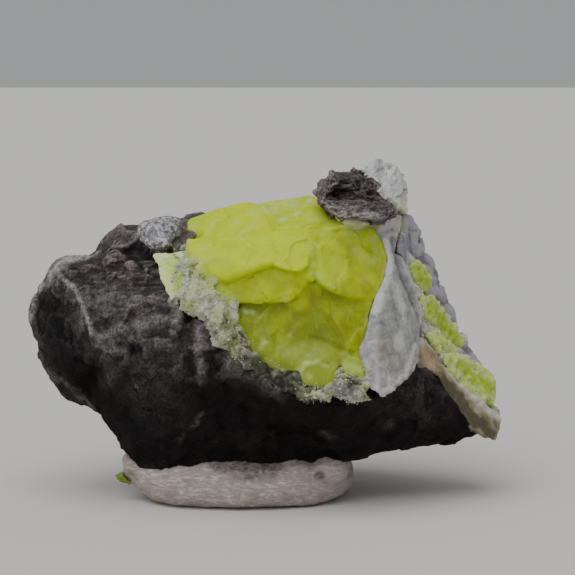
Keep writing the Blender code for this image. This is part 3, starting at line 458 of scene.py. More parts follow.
# Weathered marl: no gloss at all, a mottle of brown-grey a few millimetres across, grit of a
# third of a millimetre, finer specks of quartz, and pale dust wherever it stands proud.
marl, marl_place = new_finish(
    "weathered_marly_limestone", Roughness=0.92, Specular_IOR_Level=0.25)
mottle = add(marl, "TexNoise", {"Vector": marl_place, "Scale": scale_for(3.2), "Detail": 6.0,
                                "Roughness": 0.62, "Distortion": 0.4})
grit = add(marl, "TexNoise", {"Vector": marl_place, "Scale": scale_for(0.30), "Detail": 3.0,
                              "Roughness": 0.7})
speck = add(marl, "TexVoronoi", {"Vector": marl_place, "Scale": scale_for(0.55)})
ground = add(marl, "ValToRGB", {0: mottle}, stops=[
    (0.30, "#282324"), (0.45, "#302B2B"), (0.58, "#393433"), (0.75, "#443E3C")])
ground = coated(marl, ground, ("rust", "#4F3D36"), ("olive", "#45473A"), ("slate", "#35363B"),
                ("powder", "#756B6B"), ("worn", "#827A78"))
# painted shade, multiplied in: low down, on the left face and in the hollows
ground = coated(marl, ground, ("foot", "#584F4D"), ("painted_hollow_shade", "#4E484A"), blend="MULTIPLY")
# pale vein and patches, with a painted highlight along the left rim
ground = coated(marl, ground, ("pale", "#A5A39D"))
gritty = add(marl, "ValToRGB", {0: grit}, stops=[(0.32, 0.12), (0.68, 0.90)])
ground = add(marl, "Mix", {0: 0.85, 6: ground, 7: gritty}, data_type="RGBA",
             blend_type="OVERLAY").outputs[2]
beds = add(marl, "Mapping", {"Vector": marl_place, "Rotation": (0.12, -0.08, 0.0),
                             "Scale": (0.16, 0.16, 1.0)})
bedding = add(marl, "TexNoise", {"Vector": beds, "Scale": scale_for(0.5), "Detail": 4.0,
                                 "Roughness": 0.65})
banded = add(marl, "ValToRGB", {0: bedding}, stops=[(0.35, 0.28), (0.65, 0.74)])
laid = add(marl, "Attribute", attribute_name="bedded").outputs["Fac"]
ground = add(marl, "Mix", {0: laid, 6: ground, 7: banded}, data_type="RGBA",
             blend_type="OVERLAY").outputs[2]
sparks = add(marl, "ValToRGB", {0: speck}, stops=[(0.07, 0.10), (0.14, 0.0)])
ground = coated(marl, ground, (sparks, "#9B938F"))
layered = add(marl, "Bump", {"Height": bedding, "Distance": 0.16 * MM, "Strength": 0.4})
rough = add(marl, "Bump", {"Height": grit, "Distance": 0.20 * MM, "Strength": 0.9,
                           "Normal": layered})
connect(marl, Base_Color=ground, Normal=rough)
finished(stone, marl, "limestone", "limestone_matrix")


# ---- Sulfur pocket
# Native sulfur: blunt, waxy crystals grown into one another. Each is a rounded block; the
# joins stay as creases. Light goes a little way in; thin edges are also painted brighter as a
# glow, joins are painted darker as shade, and the upper crystals are painted lighter.


def blunt_crystal(corners, grain, rounds, swell):
    """One crystal: the hull of its corners, rounded, then swollen back to its size."""
    shape = bmesh.new()
    for corner in corners:
        shape.verts.new(Vector(corner) * MM)
    bmesh.ops.convex_hull(shape, input=shape.verts)
    loose = [vertex for vertex in shape.verts if not vertex.link_faces]
    bmesh.ops.delete(shape, geom=loose, context="VERTS")
    made = skinned(piece_from("crystal", shape), grain, rounds)
    raise_skin(made, np.full(len(made.data.vertices), swell))
    return made


def surface_of(piece):
    """A search tree over the piece's faces."""
    return BVHTree.FromPolygons([vertex.co.copy() for vertex in piece.data.vertices],
                                [face.vertices[:] for face in piece.data.polygons])


def by_nearest(where, surfaces, values):
    """For each place, the value that belongs to the nearest surface."""
    found = np.empty(len(where))
    for at, place in enumerate((where * MM).tolist()):
        gaps = [surface.find_nearest(place)[3] for surface in surfaces]
        found[at] = values[gaps.index(min(gaps))]
    return found


def grown_together(name, crystals, grain, rounds):
    """Crystals under one common skin."""
    shape = bmesh.new()
    for single in crystals:
        shape.from_mesh(single.data)
        bpy.data.objects.remove(single)
    return skinned(piece_from(name, shape), grain, rounds)


pocket_crystals = [
    # rounds of easing, swell in mm, tone from olive to lemon (partly painted light and shade), then
    # the corners
    (2, 0.0, 0.30, (-2.0, -6.0, 28.0), (10.0, -6.0, 28.0), (14.0, -5.0, 26.0), (12.0, -7.5, 19.0),
     (5.0, -7.5, 19.0), (2.0, 0.0, 31.0), (12.0, -0.5, 31.0), (8.0, -4.0, 20.0)),
    # fills between the large crystals
    (6, 0.1, 0.72, (6.6, -1.6, 33.4), (10.8, -4.6, 33.8), (9.6, -6.9, 32.5), (7.8, -6.9, 32.9),
     (8.3, -8.9, 31.0), (8.2, -10.0, 28.8), (8.6, -10.5, 27.0), (7.7, -10.8, 27.4),
     (6.6, -5.0, 27.0), (12.4, -3.0, 30.0), (5.6, -4.0, 32.0)),
    (3, 0.0, 0.46, (7.4, -9.9, 27.0), (9.8, -10.0, 26.8), (9.8, -9.9, 25.0), (7.2, -9.9, 25.0),
     (8.0, -6.0, 26.0), (3.0, -10.4, 25.4), (4.0, -7.0, 25.0)),
    (3, 0.1, 0.74, (8.6, -1.0, 35.4), (12.8, -4.4, 34.4), (13.6, -6.4, 33.6), (11.6, -6.9, 32.9),
     (9.4, -6.8, 32.6), (8.4, -3.0, 32.0), (13.6, -2.0, 33.0), (15.2, -4.6, 33.6)),
    (3, 0.0, 0.50, (14.6, -8.8, 22.4), (15.4, -8.4, 24.6), (14.7, -10.2, 18.4), (14.9, -10.8, 17.0),
     (13.6, -11.2, 17.4), (12.6, -7.0, 18.0), (13.4, -6.4, 22.0), (13.0, -11.0, 18.4)),
    # the large upper crystal and its right neighbour
    (22, 0.26, 0.93, (-6.3, -1.0, 33.4), (-5.5, -3.0, 32.4), (-6.1, -7.5, 30.3), (-5.8, -8.6, 28.4),
     (-4.3, 0.0, 34.0), (0.3, 0.0, 35.4), (2.2, 0.0, 35.3), (3.7, -4.0, 33.5),
     (4.3, -7.0, 32.3), (4.4, -11.0, 29.4), (2.0, -11.5, 28.9), (0.3, -11.4, 28.0),
     (-1.6, -11.0, 27.1), (-3.4, -10.2, 27.8), (-4.8, -9.2, 28.6), (-2.6, 2.2, 32.0),
     (3.0, 3.0, 32.0), (1.0, -5.0, 26.0)),
    (20, 0.06, 0.95, (3.8, -7.0, 32.7), (7.6, -6.5, 32.9), (8.5, -8.5, 31.0), (8.3, -10.8, 29.1),
     (7.3, -11.8, 28.2), (5.8, -11.9, 28.4), (3.9, -11.4, 29.0), (5.0, -3.0, 28.0),
     (8.0, -3.0, 29.0)),
    (10, 0.12, 0.84, (2.1, 0.0, 35.3), (3.6, 0.5, 35.2), (6.3, 1.0, 35.5), (8.5, 1.0, 36.3),
     (9.3, 0.0, 35.8), (10.2, -3.0, 34.7), (10.8, -5.0, 34.0), (7.7, -6.4, 32.6),
     (4.2, -6.8, 32.6), (3.4, -4.0, 33.5), (3.4, 2.6, 34.2), (7.6, 3.4, 34.6),
     (5.0, 0.0, 29.0), (13.0, -1.0, 34.4), (6.0, 4.0, 32.0)),
    # the brow under them
    (8, 0.10, 0.70, (-4.9, -8.6, 28.4), (-2.9, -9.8, 27.9), (2.0, -10.4, 29.0), (4.3, -10.4, 29.3),
     (7.1, -10.7, 28.7), (8.2, -10.3, 28.3), (8.4, -9.9, 27.2), (7.7, -10.3, 26.2),
     (5.6, -11.0, 24.8), (2.3, -11.4, 24.4), (0.1, -11.2, 24.6), (-1.2, -10.8, 25.8),
     (-3.7, -9.6, 26.4), (0.0, -4.0, 26.0), (7.0, -4.0, 27.0)),
    # the wide crystal to the right, and a frosted one at the left
    (12, 0.14, 0.64, (8.4, -8.6, 30.7), (9.2, -7.6, 31.8), (10.7, -5.8, 33.6), (15.1, -4.5, 33.7),
     (16.8, -5.0, 31.5), (17.5, -6.1, 29.1), (17.1, -7.1, 27.4), (16.4, -8.2, 25.8),
     (15.7, -8.6, 24.6), (12.6, -9.7, 25.1), (11.3, -10.3, 25.8), (9.9, -10.2, 26.3),
     (8.6, -10.0, 27.3), (8.3, -9.4, 29.1), (9.0, 0.0, 27.0), (15.0, 0.0, 28.0),
     (12.0, -2.0, 23.0)),
    (6, 0.0, 0.66, (-5.4, -9.7, 28.8), (-4.5, -10.9, 26.9), (-3.0, -11.5, 25.3),
     (-1.3, -11.7, 24.4), (0.2, -11.2, 25.0), (-2.7, -10.5, 27.9), (-3.8, -9.6, 29.2),
     (-3.0, -8.0, 28.0), (-1.0, -9.0, 25.4)),
    # the hollow lower face, its darker corner and the two small crystals at the foot
    (6, 0.06, 0.38, (-1.4, -9.4, 25.0), (-0.8, -10.9, 23.6), (0.1, -11.4, 22.0), (0.8, -11.8, 20.2),
     (1.9, -12.1, 18.0), (4.8, -12.0, 16.6), (7.3, -12.2, 16.6), (11.6, -11.8, 17.0),
     (13.4, -10.6, 18.6), (14.5, -9.8, 20.1), (15.1, -9.2, 22.3), (15.8, -8.6, 24.8),
     (9.2, -9.4, 26.6), (4.0, -3.0, 20.0), (13.0, -3.0, 22.0)),
    (5, 0.02, 0.44, (9.4, -9.9, 24.4), (11.2, -10.6, 22.4), (12.2, -10.9, 20.2),
     (13.4, -10.9, 18.5), (14.5, -10.1, 20.0), (15.1, -9.4, 22.3), (15.7, -8.8, 24.6),
     (13.0, -5.0, 22.0)),
    (2, 0.0, 0.31, (6.7, -12.5, 16.3), (7.5, -12.3, 17.9), (9.1, -12.1, 18.1), (11.4, -12.1, 17.4),
     (11.3, -12.7, 15.6), (9.9, -12.9, 14.9), (7.7, -12.9, 14.9), (9.0, -9.0, 17.4),
     (10.4, -9.0, 16.2)),
    (2, 0.0, 0.44, (11.9, -11.6, 17.8), (12.9, -11.2, 18.7), (14.4, -11.2, 18.2),
     (15.0, -11.5, 16.3), (14.1, -12.2, 15.1), (13.0, -12.4, 15.5), (11.9, -12.1, 16.9),
     (12.6, -8.4, 17.4), (14.0, -8.4, 17.0)),
]
blocks = [blunt_crystal(corners, 0.24, rounds, swell)
          for rounds, swell, _, *corners in pocket_crystals]
faces_of_blocks = [surface_of(single) for single in blocks]
pocket = grown_together("sulfur_pocket_crystals", blocks, 0.16, 2)
where = places(pocket)
tone_and_painted_light = by_nearest(where, faces_of_blocks, [tone_and_painted_light for _, _, tone_and_painted_light, *_ in pocket_crystals])
tone_and_painted_light = averaged(pocket, tone_and_painted_light, 4)
lobes = [
    # three rounded swellings: how steep, how far in, radius, and the middle line
    (2.5, 0.4, 2.9, (-4.4, -8.6, 30.3), (-3.2, -8.6, 30.4)),
    (3.0, 0.5, 2.0, (6.4, -10.8, 25.2), (7.3, -11.0, 24.6)),
    (3.0, 0.5, 3.3, (10.9, -8.6, 30.0), (11.2, -9.6, 28.3)),
]
left_lobe, small_lobe, right_lobe = [
    np.clip(steep * strokes(where, (radius, 1.0, *middle)) - inset, 0, 1)
    for steep, inset, radius, *middle in lobes]
where = raise_skin(
    pocket,
    0.06 * lumps(where, 3.2, 1.0) + 0.13 * facets(where, 2.9, 2.0) + 0.035 * facets(where, 1.1, 9.0)
    - 0.10 * np.clip(lumps(where, 1.3, 8.0, 2) - 0.45, 0, 1)
    + 0.30 * averaged(pocket, right_lobe, 6) + 0.22 * averaged(pocket, left_lobe, 6)
    + 0.30 * averaged(pocket, small_lobe, 6)
    - strokes(where, (1.3, 0.8, (-6.2, -4.0, 32.0), (-5.0, -4.8, 31.9)),
              (0.6, 0.22, (8.5, -11.2, 20.6), (10.5, -11.3, 20.1), (12.1, -11.0, 19.2),
               (13.2, -10.7, 18.6)),
              (0.6, 0.20, (9.6, -10.5, 23.6), (10.6, -10.7, 22.6), (11.6, -10.9, 21.3),
               (12.1, -11.1, 19.5)),
              (0.5, 0.16, (3.0, -11.4, 23.2), (4.6, -11.5, 21.4), (4.2, -11.9, 19.0)),
              (0.5, 0.14, (5.2, -11.3, 23.6), (7.0, -11.4, 22.0), (8.5, -11.3, 20.6))),
)
frayed = jostled(where, 0.35, 1.1, 31)
# painted light and shade over the crystals' own tone: a glow on thin edges, lighter swellings, top
# and area under the cap, darker lower face
paint(pocket, "tone_and_painted_light", tone_and_painted_light + 0.12 * lumps(where, 1.7, 3.0) + 0.14 * right_lobe
      + 0.18 * small_lobe + 0.05 * left_lobe + 1.6 * np.clip(proud(pocket, 8), 0, 0.12) + strokes(
    where, (3.4, 0.10, (1.0, -3.0, 34.0)), (2.8, 0.26, (11.4, -6.0, 33.2), (15.0, -5.4, 32.6)))
    - strokes(where, (2.6, 0.12, (7.8, -10.8, 21.8), (11.2, -10.9, 20.6)),
              (1.2, 0.12, (9.0, -10.2, 25.4), (12.4, -10.0, 25.4), (15.4, -8.8, 25.8)),
              (1.0, 0.14, (-0.6, -10.4, 23.6), (3.0, -11.0, 23.8), (5.0, -10.8, 24.0))))
# painted shade: darker in the creases where crystals meet, and along one stroke near the top
paint(pocket, "crease_shade", -4.0 * proud(pocket, 8) - 0.10 + strokes(
    where, (1.2, 0.7, (7.8, -4.5, 32.7), (8.7, -6.5, 32.5))))
paint(pocket, "lime", strokes(
    where, (2.4, 0.35, (7.4, -12.7, 16.2), (10.0, -12.7, 16.4)), (2.0, 0.6, (13.6, -11.9, 17.0)),
    (2.6, 0.25, (2.6, -11.4, 20.0), (6.0, -11.4, 18.6), (10.0, -11.4, 18.6)),
    (2.4, 0.6, (-5.6, -9.6, 28.9), (-4.0, -11.0, 26.4), (-1.6, -11.6, 24.4)),
    (2.4, 0.5, (-5.6, -1.6, 33.0), (-6.0, -4.4, 32.0)),
    (2.6, 0.35, (4.0, -1.6, 34.6), (8.0, -0.8, 35.4))))
cloud = 0.55 + 0.9 * lumps(where, 1.1, 12.0)
paint(pocket, "veil", cloud * strokes(
    frayed,
    (2.4, 0.9, (3.0, -1.6, 34.8), (6.0, -0.8, 35.4), (8.6, -0.4, 35.9)),
    (1.0, 1.1, (4.9, -4.4, 33.7), (6.0, -3.9, 34.1), (7.1, -3.3, 34.4)),
    (2.0, 0.5, (9.0, -4.6, 34.0), (12.0, -6.4, 33.4)),
    (0.8, 0.6, (1.1, -2.3, 34.3), (2.2, -3.8, 33.9), (1.6, -5.6, 33.0), (0.4, -6.4, 32.3)),
    (0.8, 0.5, (-0.3, -3.4, 33.6), (-0.6, -5.4, 32.8), (0.6, -7.6, 31.8)),
    (0.7, 0.5, (-2.6, -2.4, 33.6), (-3.6, -4.6, 32.8), (-4.2, -6.4, 32.0)),
    (1.3, 0.9, (-5.8, -2.0, 32.8), (-6.2, -6.6, 30.8), (-6.0, -8.4, 29.0), (-4.9, -9.4, 28.2)),
    (2.2, 1.5, (-5.6, -9.6, 28.9), (-4.6, -10.9, 27.0), (-3.0, -11.6, 25.2), (-1.2, -11.8, 24.2)),
    (0.8, 0.5, (5.3, -11.0, 25.0), (6.0, -11.4, 24.0), (7.2, -11.4, 23.6), (8.4, -11.0, 24.0)),
    (0.6, 0.9, (9.0, -8.6, 31.4), (8.5, -9.5, 29.6), (8.6, -10.1, 27.8)),
    (0.45, 0.7, (8.9, -9.8, 28.2), (9.8, -10.2, 26.9), (11.3, -10.4, 26.4), (12.8, -10.0, 27.2),
     (13.4, -9.2, 28.8)),
    (2.6, 0.30, (-4.4, -8.8, 30.2), (-3.6, -9.0, 29.8)),
    (2.2, 0.15, (10.9, -8.8, 29.6), (11.2, -9.6, 28.3)),
    (0.5, 0.7, (-0.4, -10.9, 24.1), (1.3, -11.1, 23.7), (2.4, -11.2, 23.1)),
    (0.6, 1.0, (2.9, -11.5, 20.1), (2.5, -11.7, 19.4)),
    (0.6, 0.5, (6.4, -11.2, 22.4), (6.0, -11.5, 20.8)),
    (0.4, 0.6, (14.3, -9.8, 22.6), (14.9, -9.6, 21.2)),
    (2.0, 0.35, (9.0, -11.8, 18.8), (6.0, -11.8, 19.2)), (1.6, 0.2, (3.0, -11.2, 21.4)),
    (1.0, 0.9, (6.7, -12.7, 16.0), (7.6, -12.5, 17.8), (9.2, -12.3, 18.1), (11.2, -12.3, 17.5)),
    (0.8, 0.5, (7.6, -12.6, 17.4), (8.2, -12.8, 16.2)),
    (1.7, 0.7, (12.7, -11.7, 18.0), (13.8, -12.0, 16.9), (14.3, -12.1, 16.1)),
    (1.0, 0.75, (0.4, -11.0, 21.0), (1.6, -11.6, 18.8), (4.6, -12.2, 16.8), (7.0, -12.8, 15.4)),
    (0.8, 0.7, (16.9, -5.4, 31.0), (17.4, -6.4, 28.6), (16.2, -8.3, 25.4), (15.0, -9.4, 21.8),
     (14.8, -10.2, 19.0)),
    (2.2, 0.5, (10.6, -6.8, 32.8), (13.4, -6.2, 33.0), (15.6, -5.6, 32.2)),
    (2.4, 0.4, (13.4, -8.0, 31.4), (15.6, -6.4, 29.6)), (1.6, 0.35, (15.0, -8.6, 27.6)),
))

# Sulfur: resinous lustre, dulled by etched faces, and soft light inside. Yellow is painted
# darker as shade where crystals meet, milky where they are cracked or thin; veils are a
# millimetre or so across.
sulfur, sulfur_place = new_finish(
    "native_sulfur", IOR=1.6, Specular_IOR_Level=0.16, Subsurface_Weight=0.45,
    Subsurface_Scale=1.6 * MM, Subsurface_Radius=(1.0, 0.95, 0.10))
drift = add(sulfur, "TexNoise", {"Vector": sulfur_place, "Scale": scale_for(2.6), "Detail": 5.0,
                                 "Roughness": 0.6, "Distortion": 0.8})
# the tone, which carries painted light and shade: olive on the lower crystals, lemon on the upper
tone_and_painted_light = add(sulfur, "Attribute", attribute_name="tone_and_painted_light").outputs["Fac"]
lean = add(sulfur, "MapRange", {"Value": drift, "From Min": 0.3, "From Max": 0.7,
                                "To Min": -0.10, "To Max": 0.10})
toned = add(sulfur, "Math", {0: tone_and_painted_light, 1: lean}, operation="ADD", use_clamp=True)
yellow = add(sulfur, "ValToRGB", {0: toned}, stops=[
    (0.0, "#66731C"), (0.34, "#87931F"), (0.55, "#A2AE12"), (0.80, "#BACA00"),
    (1.0, "#C8DA00")])
# painted crease shade, greener patches and pale veils over the yellow
yellow = coated(sulfur, yellow, ("crease_shade", "#939408"), ("lime", "#A3C63C"), ("veil", "#C9DA86"))
haze = add(sulfur, "TexNoise", {"Vector": sulfur_place, "Scale": scale_for(0.8), "Detail": 6.0,
                                "Roughness": 0.7, "Distortion": 1.5})
hazy = add(sulfur, "ValToRGB", {0: haze}, stops=[(0.60, 0.0), (0.78, 0.10)])
drawn = add(sulfur, "Mapping", {"Vector": sulfur_place, "Rotation": (0.4, 0.5, 0.3),
                                "Scale": (1.0, 1.0, 0.22)})
scratch = add(sulfur, "TexNoise", {"Vector": drawn, "Scale": scale_for(0.5), "Detail": 3.0,
                                   "Roughness": 0.6, "Distortion": 0.3})
scratched = add(sulfur, "ValToRGB", {0: scratch}, stops=[(0.56, 0.0), (0.70, 0.16)])
soot = add(sulfur, "TexVoronoi", {"Vector": sulfur_place, "Scale": scale_for(2.4)})
sooty = add(sulfur, "ValToRGB", {0: soot}, stops=[(0.030, 0.6), (0.055, 0.0)])
yellow = coated(sulfur, yellow, (hazy, "#CBD97A"), (scratched, "#D3DE7C"), (sooty, "#6E6A20"))
waxy = add(sulfur, "Bump", {"Height": haze, "Distance": 0.08 * MM, "Strength": 0.35})
dull = add(sulfur, "ValToRGB", {0: haze}, stops=[(0.35, 0.34), (0.70, 0.60)])
connect(sulfur, Base_Color=yellow, Normal=waxy, Roughness=dull)
finished(pocket, sulfur, "sulfur", "sulfur_pocket")


# ---- Pale slab
# One flat sulfur crystal that stands at the pocket's left corner, thin enough to look
# greenish white, with a stepped, slightly frosted face.

slab = fine_copy("pale_sulfur_slab", "sulfur_slab", 0.13, 2)
close_up(slab, ["sulfur_pocket"])
where = places(slab)
step = (where @ np.array((0.5, 0.1, 0.85)) / 0.9 + 0.3 * lumps(where, 1.6, 3.0, 2)) % 1.0
where = raise_skin(slab, 0.10 * np.minimum(step, 5 * (1 - step)) + 0.12 * facets(where, 1.3, 6.0)
                   + 0.14 * lumps(where, 1.2, 5.0, 2) + 0.05 * lumps(where, 0.4, 2.0, 2) - 0.05)
paint(slab, "veil", 0.02 + 0.5 * lumps(where, 0.9, 4.0) + 2.5 * proud(slab, 6) + strokes(
    where, (1.1, 0.6, (-9.6, -8.4, 29.9), (-9.0, -10.2, 28.4), (-7.6, -12.4, 25.4)),
    (1.0, 0.6, (-9.4, -8.0, 30.1), (-6.2, -8.6, 30.3))))
paint(slab, "shade", strokes(where, (1.6, 0.9, (-6.6, -9.6, 28.6), (-6.8, -10.8, 27.0))))

# Thin sulfur: light comes through it from behind, so it is paler and greener than the blocks.
pale, pale_place = new_finish(
    "thin_pale_sulfur", Roughness=0.45, IOR=1.7, Subsurface_Weight=0.4,
    Subsurface_Scale=1.2 * MM, Subsurface_Radius=(0.9, 1.0, 0.45))
frost = add(pale, "TexNoise", {"Vector": pale_place, "Scale": scale_for(0.9), "Detail": 6.0,
                               "Roughness": 0.65})
leaf = add(pale, "ValToRGB", {0: frost}, stops=[
    (0.32, "#ABC73A"), (0.52, "#BEDA5A"), (0.70, "#CDE484")])
leaf = coated(pale, leaf, ("shade", "#9DB43C"), ("veil", "#DFE8BA"))
frosted = add(pale, "Bump", {"Height": frost, "Distance": 0.12 * MM, "Strength": 0.6})
connect(pale, Base_Color=leaf, Normal=frosted)
finished(slab, pale, "pale_sulfur", "sulfur_slab")


# ---- Flank sulfur
# Three lens-shaped bodies of sulfur down the right flank, and a crumb of it in the putty.
# Their middles are clear yellow-green, their rims are frosted white.

flank_bodies = [
    # name, solid, grain, the middle line
    ("flank_sulfur_upper", "sulfur_flank_upper", 0.11, (21.0, -0.9, 27.4), (22.2, 0.8, 25.6)),
    ("flank_sulfur_middle", "sulfur_flank_middle", 0.12, (22.6, -1.4, 22.9), (24.4, 1.0, 20.6),
     (26.2, 3.6, 18.4)),
    ("flank_sulfur_lower", "sulfur_flank_lower", 0.14, (26.2, -1.8, 16.0), (28.4, 0.4, 13.8),
     (30.4, 2.8, 12.6)),
    ("crumb_of_sulfur", "putty_crumb", 0.07, (-14.0, -4.3, 2.8), (-13.6, -4.2, 2.5)),
]
flank_pieces = []
for name, node, grain, *middle in flank_bodies:
    body = fine_copy(name, node, grain, 3)
    crumb = node == "putty_crumb"
    where = places(body)
    raise_skin(body, 0.40 * lumps(where, 1.1, 3.0, 2) + 0.16 * facets(where, 0.8, 1.0)
               + 0.07 * lumps(where, 0.45, 7.0, 2) + (0.0 if crumb else 0.26))
    where = kept_within(body, 0, most=31.2)
    core = strokes(jostled(where, 0.4, 1.0, 41), (1.5, 1.0, *middle))
    # tone with painted shade: the crumb is set darker as painted shade; the bodies' middles are
    # clearer
    paint(body, "tone_and_painted_light", (-0.2 if crumb else 0.55) + 0.25 * core + 0.25 * lumps(where, 1.3, 3.0))
    paint(body, "lime", np.full(len(where), 0.0 if crumb else 0.75))
    # painted shade: darker in the hollows
    paint(body, "crease_shade", -2.5 * proud(body, 6) - 0.1)
    rim = 0.15 if crumb else 1.2 - 1.5 * core
    paint(body, "veil", rim * (0.75 + 0.9 * lumps(where, 0.7, 5.0)))
    finished(body, sulfur, "sulfur", node)
    flank_pieces.append(body)


# ---- Gypsum plate
# Clear selenite at the pocket's right side, finely fibrous from top to bottom, so that the
# dark stone behind turns it grey; its foot is broken ragged and a brown stain lies inside.

plate = fine_copy("gypsum_plate_selenite", "gypsum_plate", 0.15, 3)
close_up(plate, ["sulfur_pocket", "limestone_cap"])
along_fibres = np.array(((1.0, 0.1, -0.10), (0.0, 1.0, 0.0), (0.0, 0.0, 0.13)))
groove = [(18.2, -5.0, 31.4), (18.6, -5.7, 29.4), (19.4, -6.5, 27.0)]
where = places(plate)
stretched = where @ along_fibres
foot = strokes(where, (1.6, 1.0, (20.6, -8.6, 18.0), (19.0, -11.2, 15.4), (16.4, -12.5, 14.0),
                       (14.8, -12.2, 15.0)))
where = raise_skin(
    plate,
    0.07 * lumps(stretched, 0.6, 2.0) + 0.03 * lumps(stretched, 0.25, 4.0, 2)
    + 0.12 * facets(where, 2.2, 5.0) + 0.25 * foot * lumps(where, 0.7, 3.0) + 0.05
    - strokes(where, (0.8, 0.45, *groove, (20.6, -6.9, 24.0))),
)
stretched = where @ along_fibres
paint(
    plate, "milk",
    0.12 + 0.25 * lumps(stretched, 1.1, 7.0) + 0.20 * lumps(where, 0.9, 3.0)
    + 2.0 * proud(plate, 5) + strokes(
        where,
        (0.9, 0.8, (17.4, -5.6, 31.2), (17.6, -6.4, 29.0), (17.0, -8.2, 26.6), (15.8, -9.0, 23.6)),
        (1.0, 0.25, (18.8, -7.3, 25.7), (19.0, -8.6, 22.4), (18.7, -10.0, 19.4)),
        (0.45, 0.8, (20.4, -8.8, 19.4), (19.4, -10.8, 16.4), (17.6, -12.2, 14.8),
         (15.6, -12.4, 14.6)),
        (1.3, 0.6, (16.2, -4.8, 33.2), (18.2, -4.0, 33.4))))
paint(plate, "stain", strokes(where, (1.7, 0.6, (16.6, -10.5, 19.6), (17.0, -10.4, 18.4)),
                              (4.2, 0.12, (16.6, -11.6, 16.0), (19.4, -10.4, 17.0))))
# painted shade down the plate's groove
paint(plate, "groove", strokes(
    where, (0.9, 1.0, *groove, (20.6, -6.9, 24.0), (20.9, -7.4, 22.2))))
# a yellowish tinge, made stronger under the cap as painted light where the cap shades it
paint(plate, "tinge_and_painted_light", strokes(where, (1.3, 0.8, (18.8, -3.6, 33.2), (18.9, -3.8, 31.8)),
                              (2.4, 1.1, (11.4, -7.1, 34.0), (15.0, -6.4, 33.4))))

# Selenite: clear as window glass where it is whole, index 1.52; cleavage cracks along the
# fibres make it milky in streaks about a third of a millimetre wide.
selenite, selenite_place = new_finish("fibrous_selenite", Roughness=0.24, IOR=1.52)
upright = add(selenite, "Mapping", {"Vector": selenite_place, "Rotation": (0.0, -0.12, 0.0),
                                    "Scale": (1.0, 1.0, 0.10)})
fibre = add(selenite, "TexNoise", {"Vector": upright, "Scale": scale_for(0.34), "Detail": 5.0,
                                   "Roughness": 0.62})
wisps = add(selenite, "TexNoise", {"Vector": selenite_place, "Scale": scale_for(1.3), "Detail": 5.0,
                                   "Roughness": 0.65, "Distortion": 1.2})
woven = add(selenite, "Mix", {0: 0.55, 2: fibre, 3: wisps}, data_type="FLOAT")
glassy = add(selenite, "ValToRGB", {0: woven}, stops=[
    (0.36, "#9B9B99"), (0.50, "#AEAEAC"), (0.64, "#C0C0BE")])
# milky streaks, a brown stain, painted shade in the groove, and the tinge with painted light
glassy = coated(selenite, glassy, ("milk", "#D3D3D2"), ("stain", "#9C8468"),
                ("groove", "#858585"), ("tinge_and_painted_light", "#DBDEA6"))
milk = add(selenite, "Attribute", attribute_name="milk").outputs["Fac"]
wispy = add(selenite, "Math", {0: wisps, 1: milk}, operation="ADD")
clear = add(selenite, "ValToRGB", {0: wispy}, stops=[(0.35, 0.50), (0.958333, 0.15)])
ribbed = add(selenite, "Bump", {"Height": fibre, "Distance": 0.08 * MM, "Strength": 0.5})
connect(selenite, Base_Color=glassy, Normal=ribbed, Transmission_Weight=clear)
finished(plate, selenite, "gypsum", "gypsum_plate")


# ---- Spar tip
# Colourless spar at the very top: jagged, cracked points, as milky as the plate below it,
# with a coating of tiny crystals that sparkle.


def scattered(name, piece, count, sizes, seed, keep, lift=0.25, sides=1, stretch=1.0):
    """Small faceted grains seated on the skin of a piece; keep says where they may sit.

    Sizes are millimetres; lift is how far out a grain sits, as a share of its size."""
    chance = Random(seed)
    mesh = piece.data
    areas = np.array([face.area for face in mesh.polygons])
    middles = np.array([face.center[:] for face in mesh.polygons]) / MM
    weight = areas * keep(middles)
    picks = np.searchsorted(np.cumsum(weight) / weight.sum(),
                            [(at + chance.random()) / count for at in range(count)])
    shape = bmesh.new()
    tints = []
    for pick in picks:
        face = mesh.polygons[int(pick)]
        size = chance.uniform(*sizes) * chance.uniform(0.7, 1.0)
        lean = Vector([chance.uniform(-0.5, 0.5) for _ in range(3)])
        turn = (face.normal + lean).to_track_quat("Z", "Y").to_matrix()
        turn = turn @ Matrix.Rotation(chance.uniform(0, 6.28), 3, "Z")
        scale = Vector((size * chance.uniform(0.7, 1.0), size * chance.uniform(0.7, 1.0),
                        size * stretch)) * MM
        spot = face.center + face.normal * (lift * size * MM)
        made = bmesh.ops.create_icosphere(shape, subdivisions=sides, radius=1.0)["verts"]
        for vertex in made:
            vertex.co *= chance.uniform(0.72, 1.0)
        bmesh.ops.transform(shape, verts=made,
                            matrix=Matrix.LocRotScale(spot, turn.to_quaternion(), scale))
        tints += [chance.random()] * len(made)
    grains = piece_from(name, shape)
    paint(grains, "tint", np.array(tints))
    return grains


tip = fine_copy("spar_tip_points", "spar_tip", 0.24, 1)
close_up(tip, ["limestone_cap"])
where = places(tip)
raise_skin(tip, 0.55 * facets(where, 2.1, 2.0) + 0.20 * facets(where, 0.9, 7.0) - 0.12)
where = kept_within(tip, 2, most=40.6)
paint(tip, "milk", 1.1 + 0.5 * lumps(where, 0.9, 2.0))
paint(tip, "stain", strokes(where, (1.5, 0.35, (16.2, -1.6, 37.0), (17.4, -2.2, 35.8))))
# painted shade: darker in the creases between the points
paint(tip, "groove", -2.2 * proud(tip, 3) - 0.05)
paint(tip, "tinge_and_painted_light", strokes(where, (1.8, 0.8, (19.0, -2.0, 34.9), (20.0, -0.4, 34.6)),
                            (1.3, 0.5, (19.6, -1.4, 36.0), (19.4, -1.4, 37.4))))
finished(tip, selenite, "spar", "spar_tip", flat=True)


def above_cap(spots):
    """Mostly above the limestone cap, and never on the very tip."""
    return np.where(spots[:, 2] > 34.6, 1.0, 0.1) * (spots[:, 2] < 40.2)


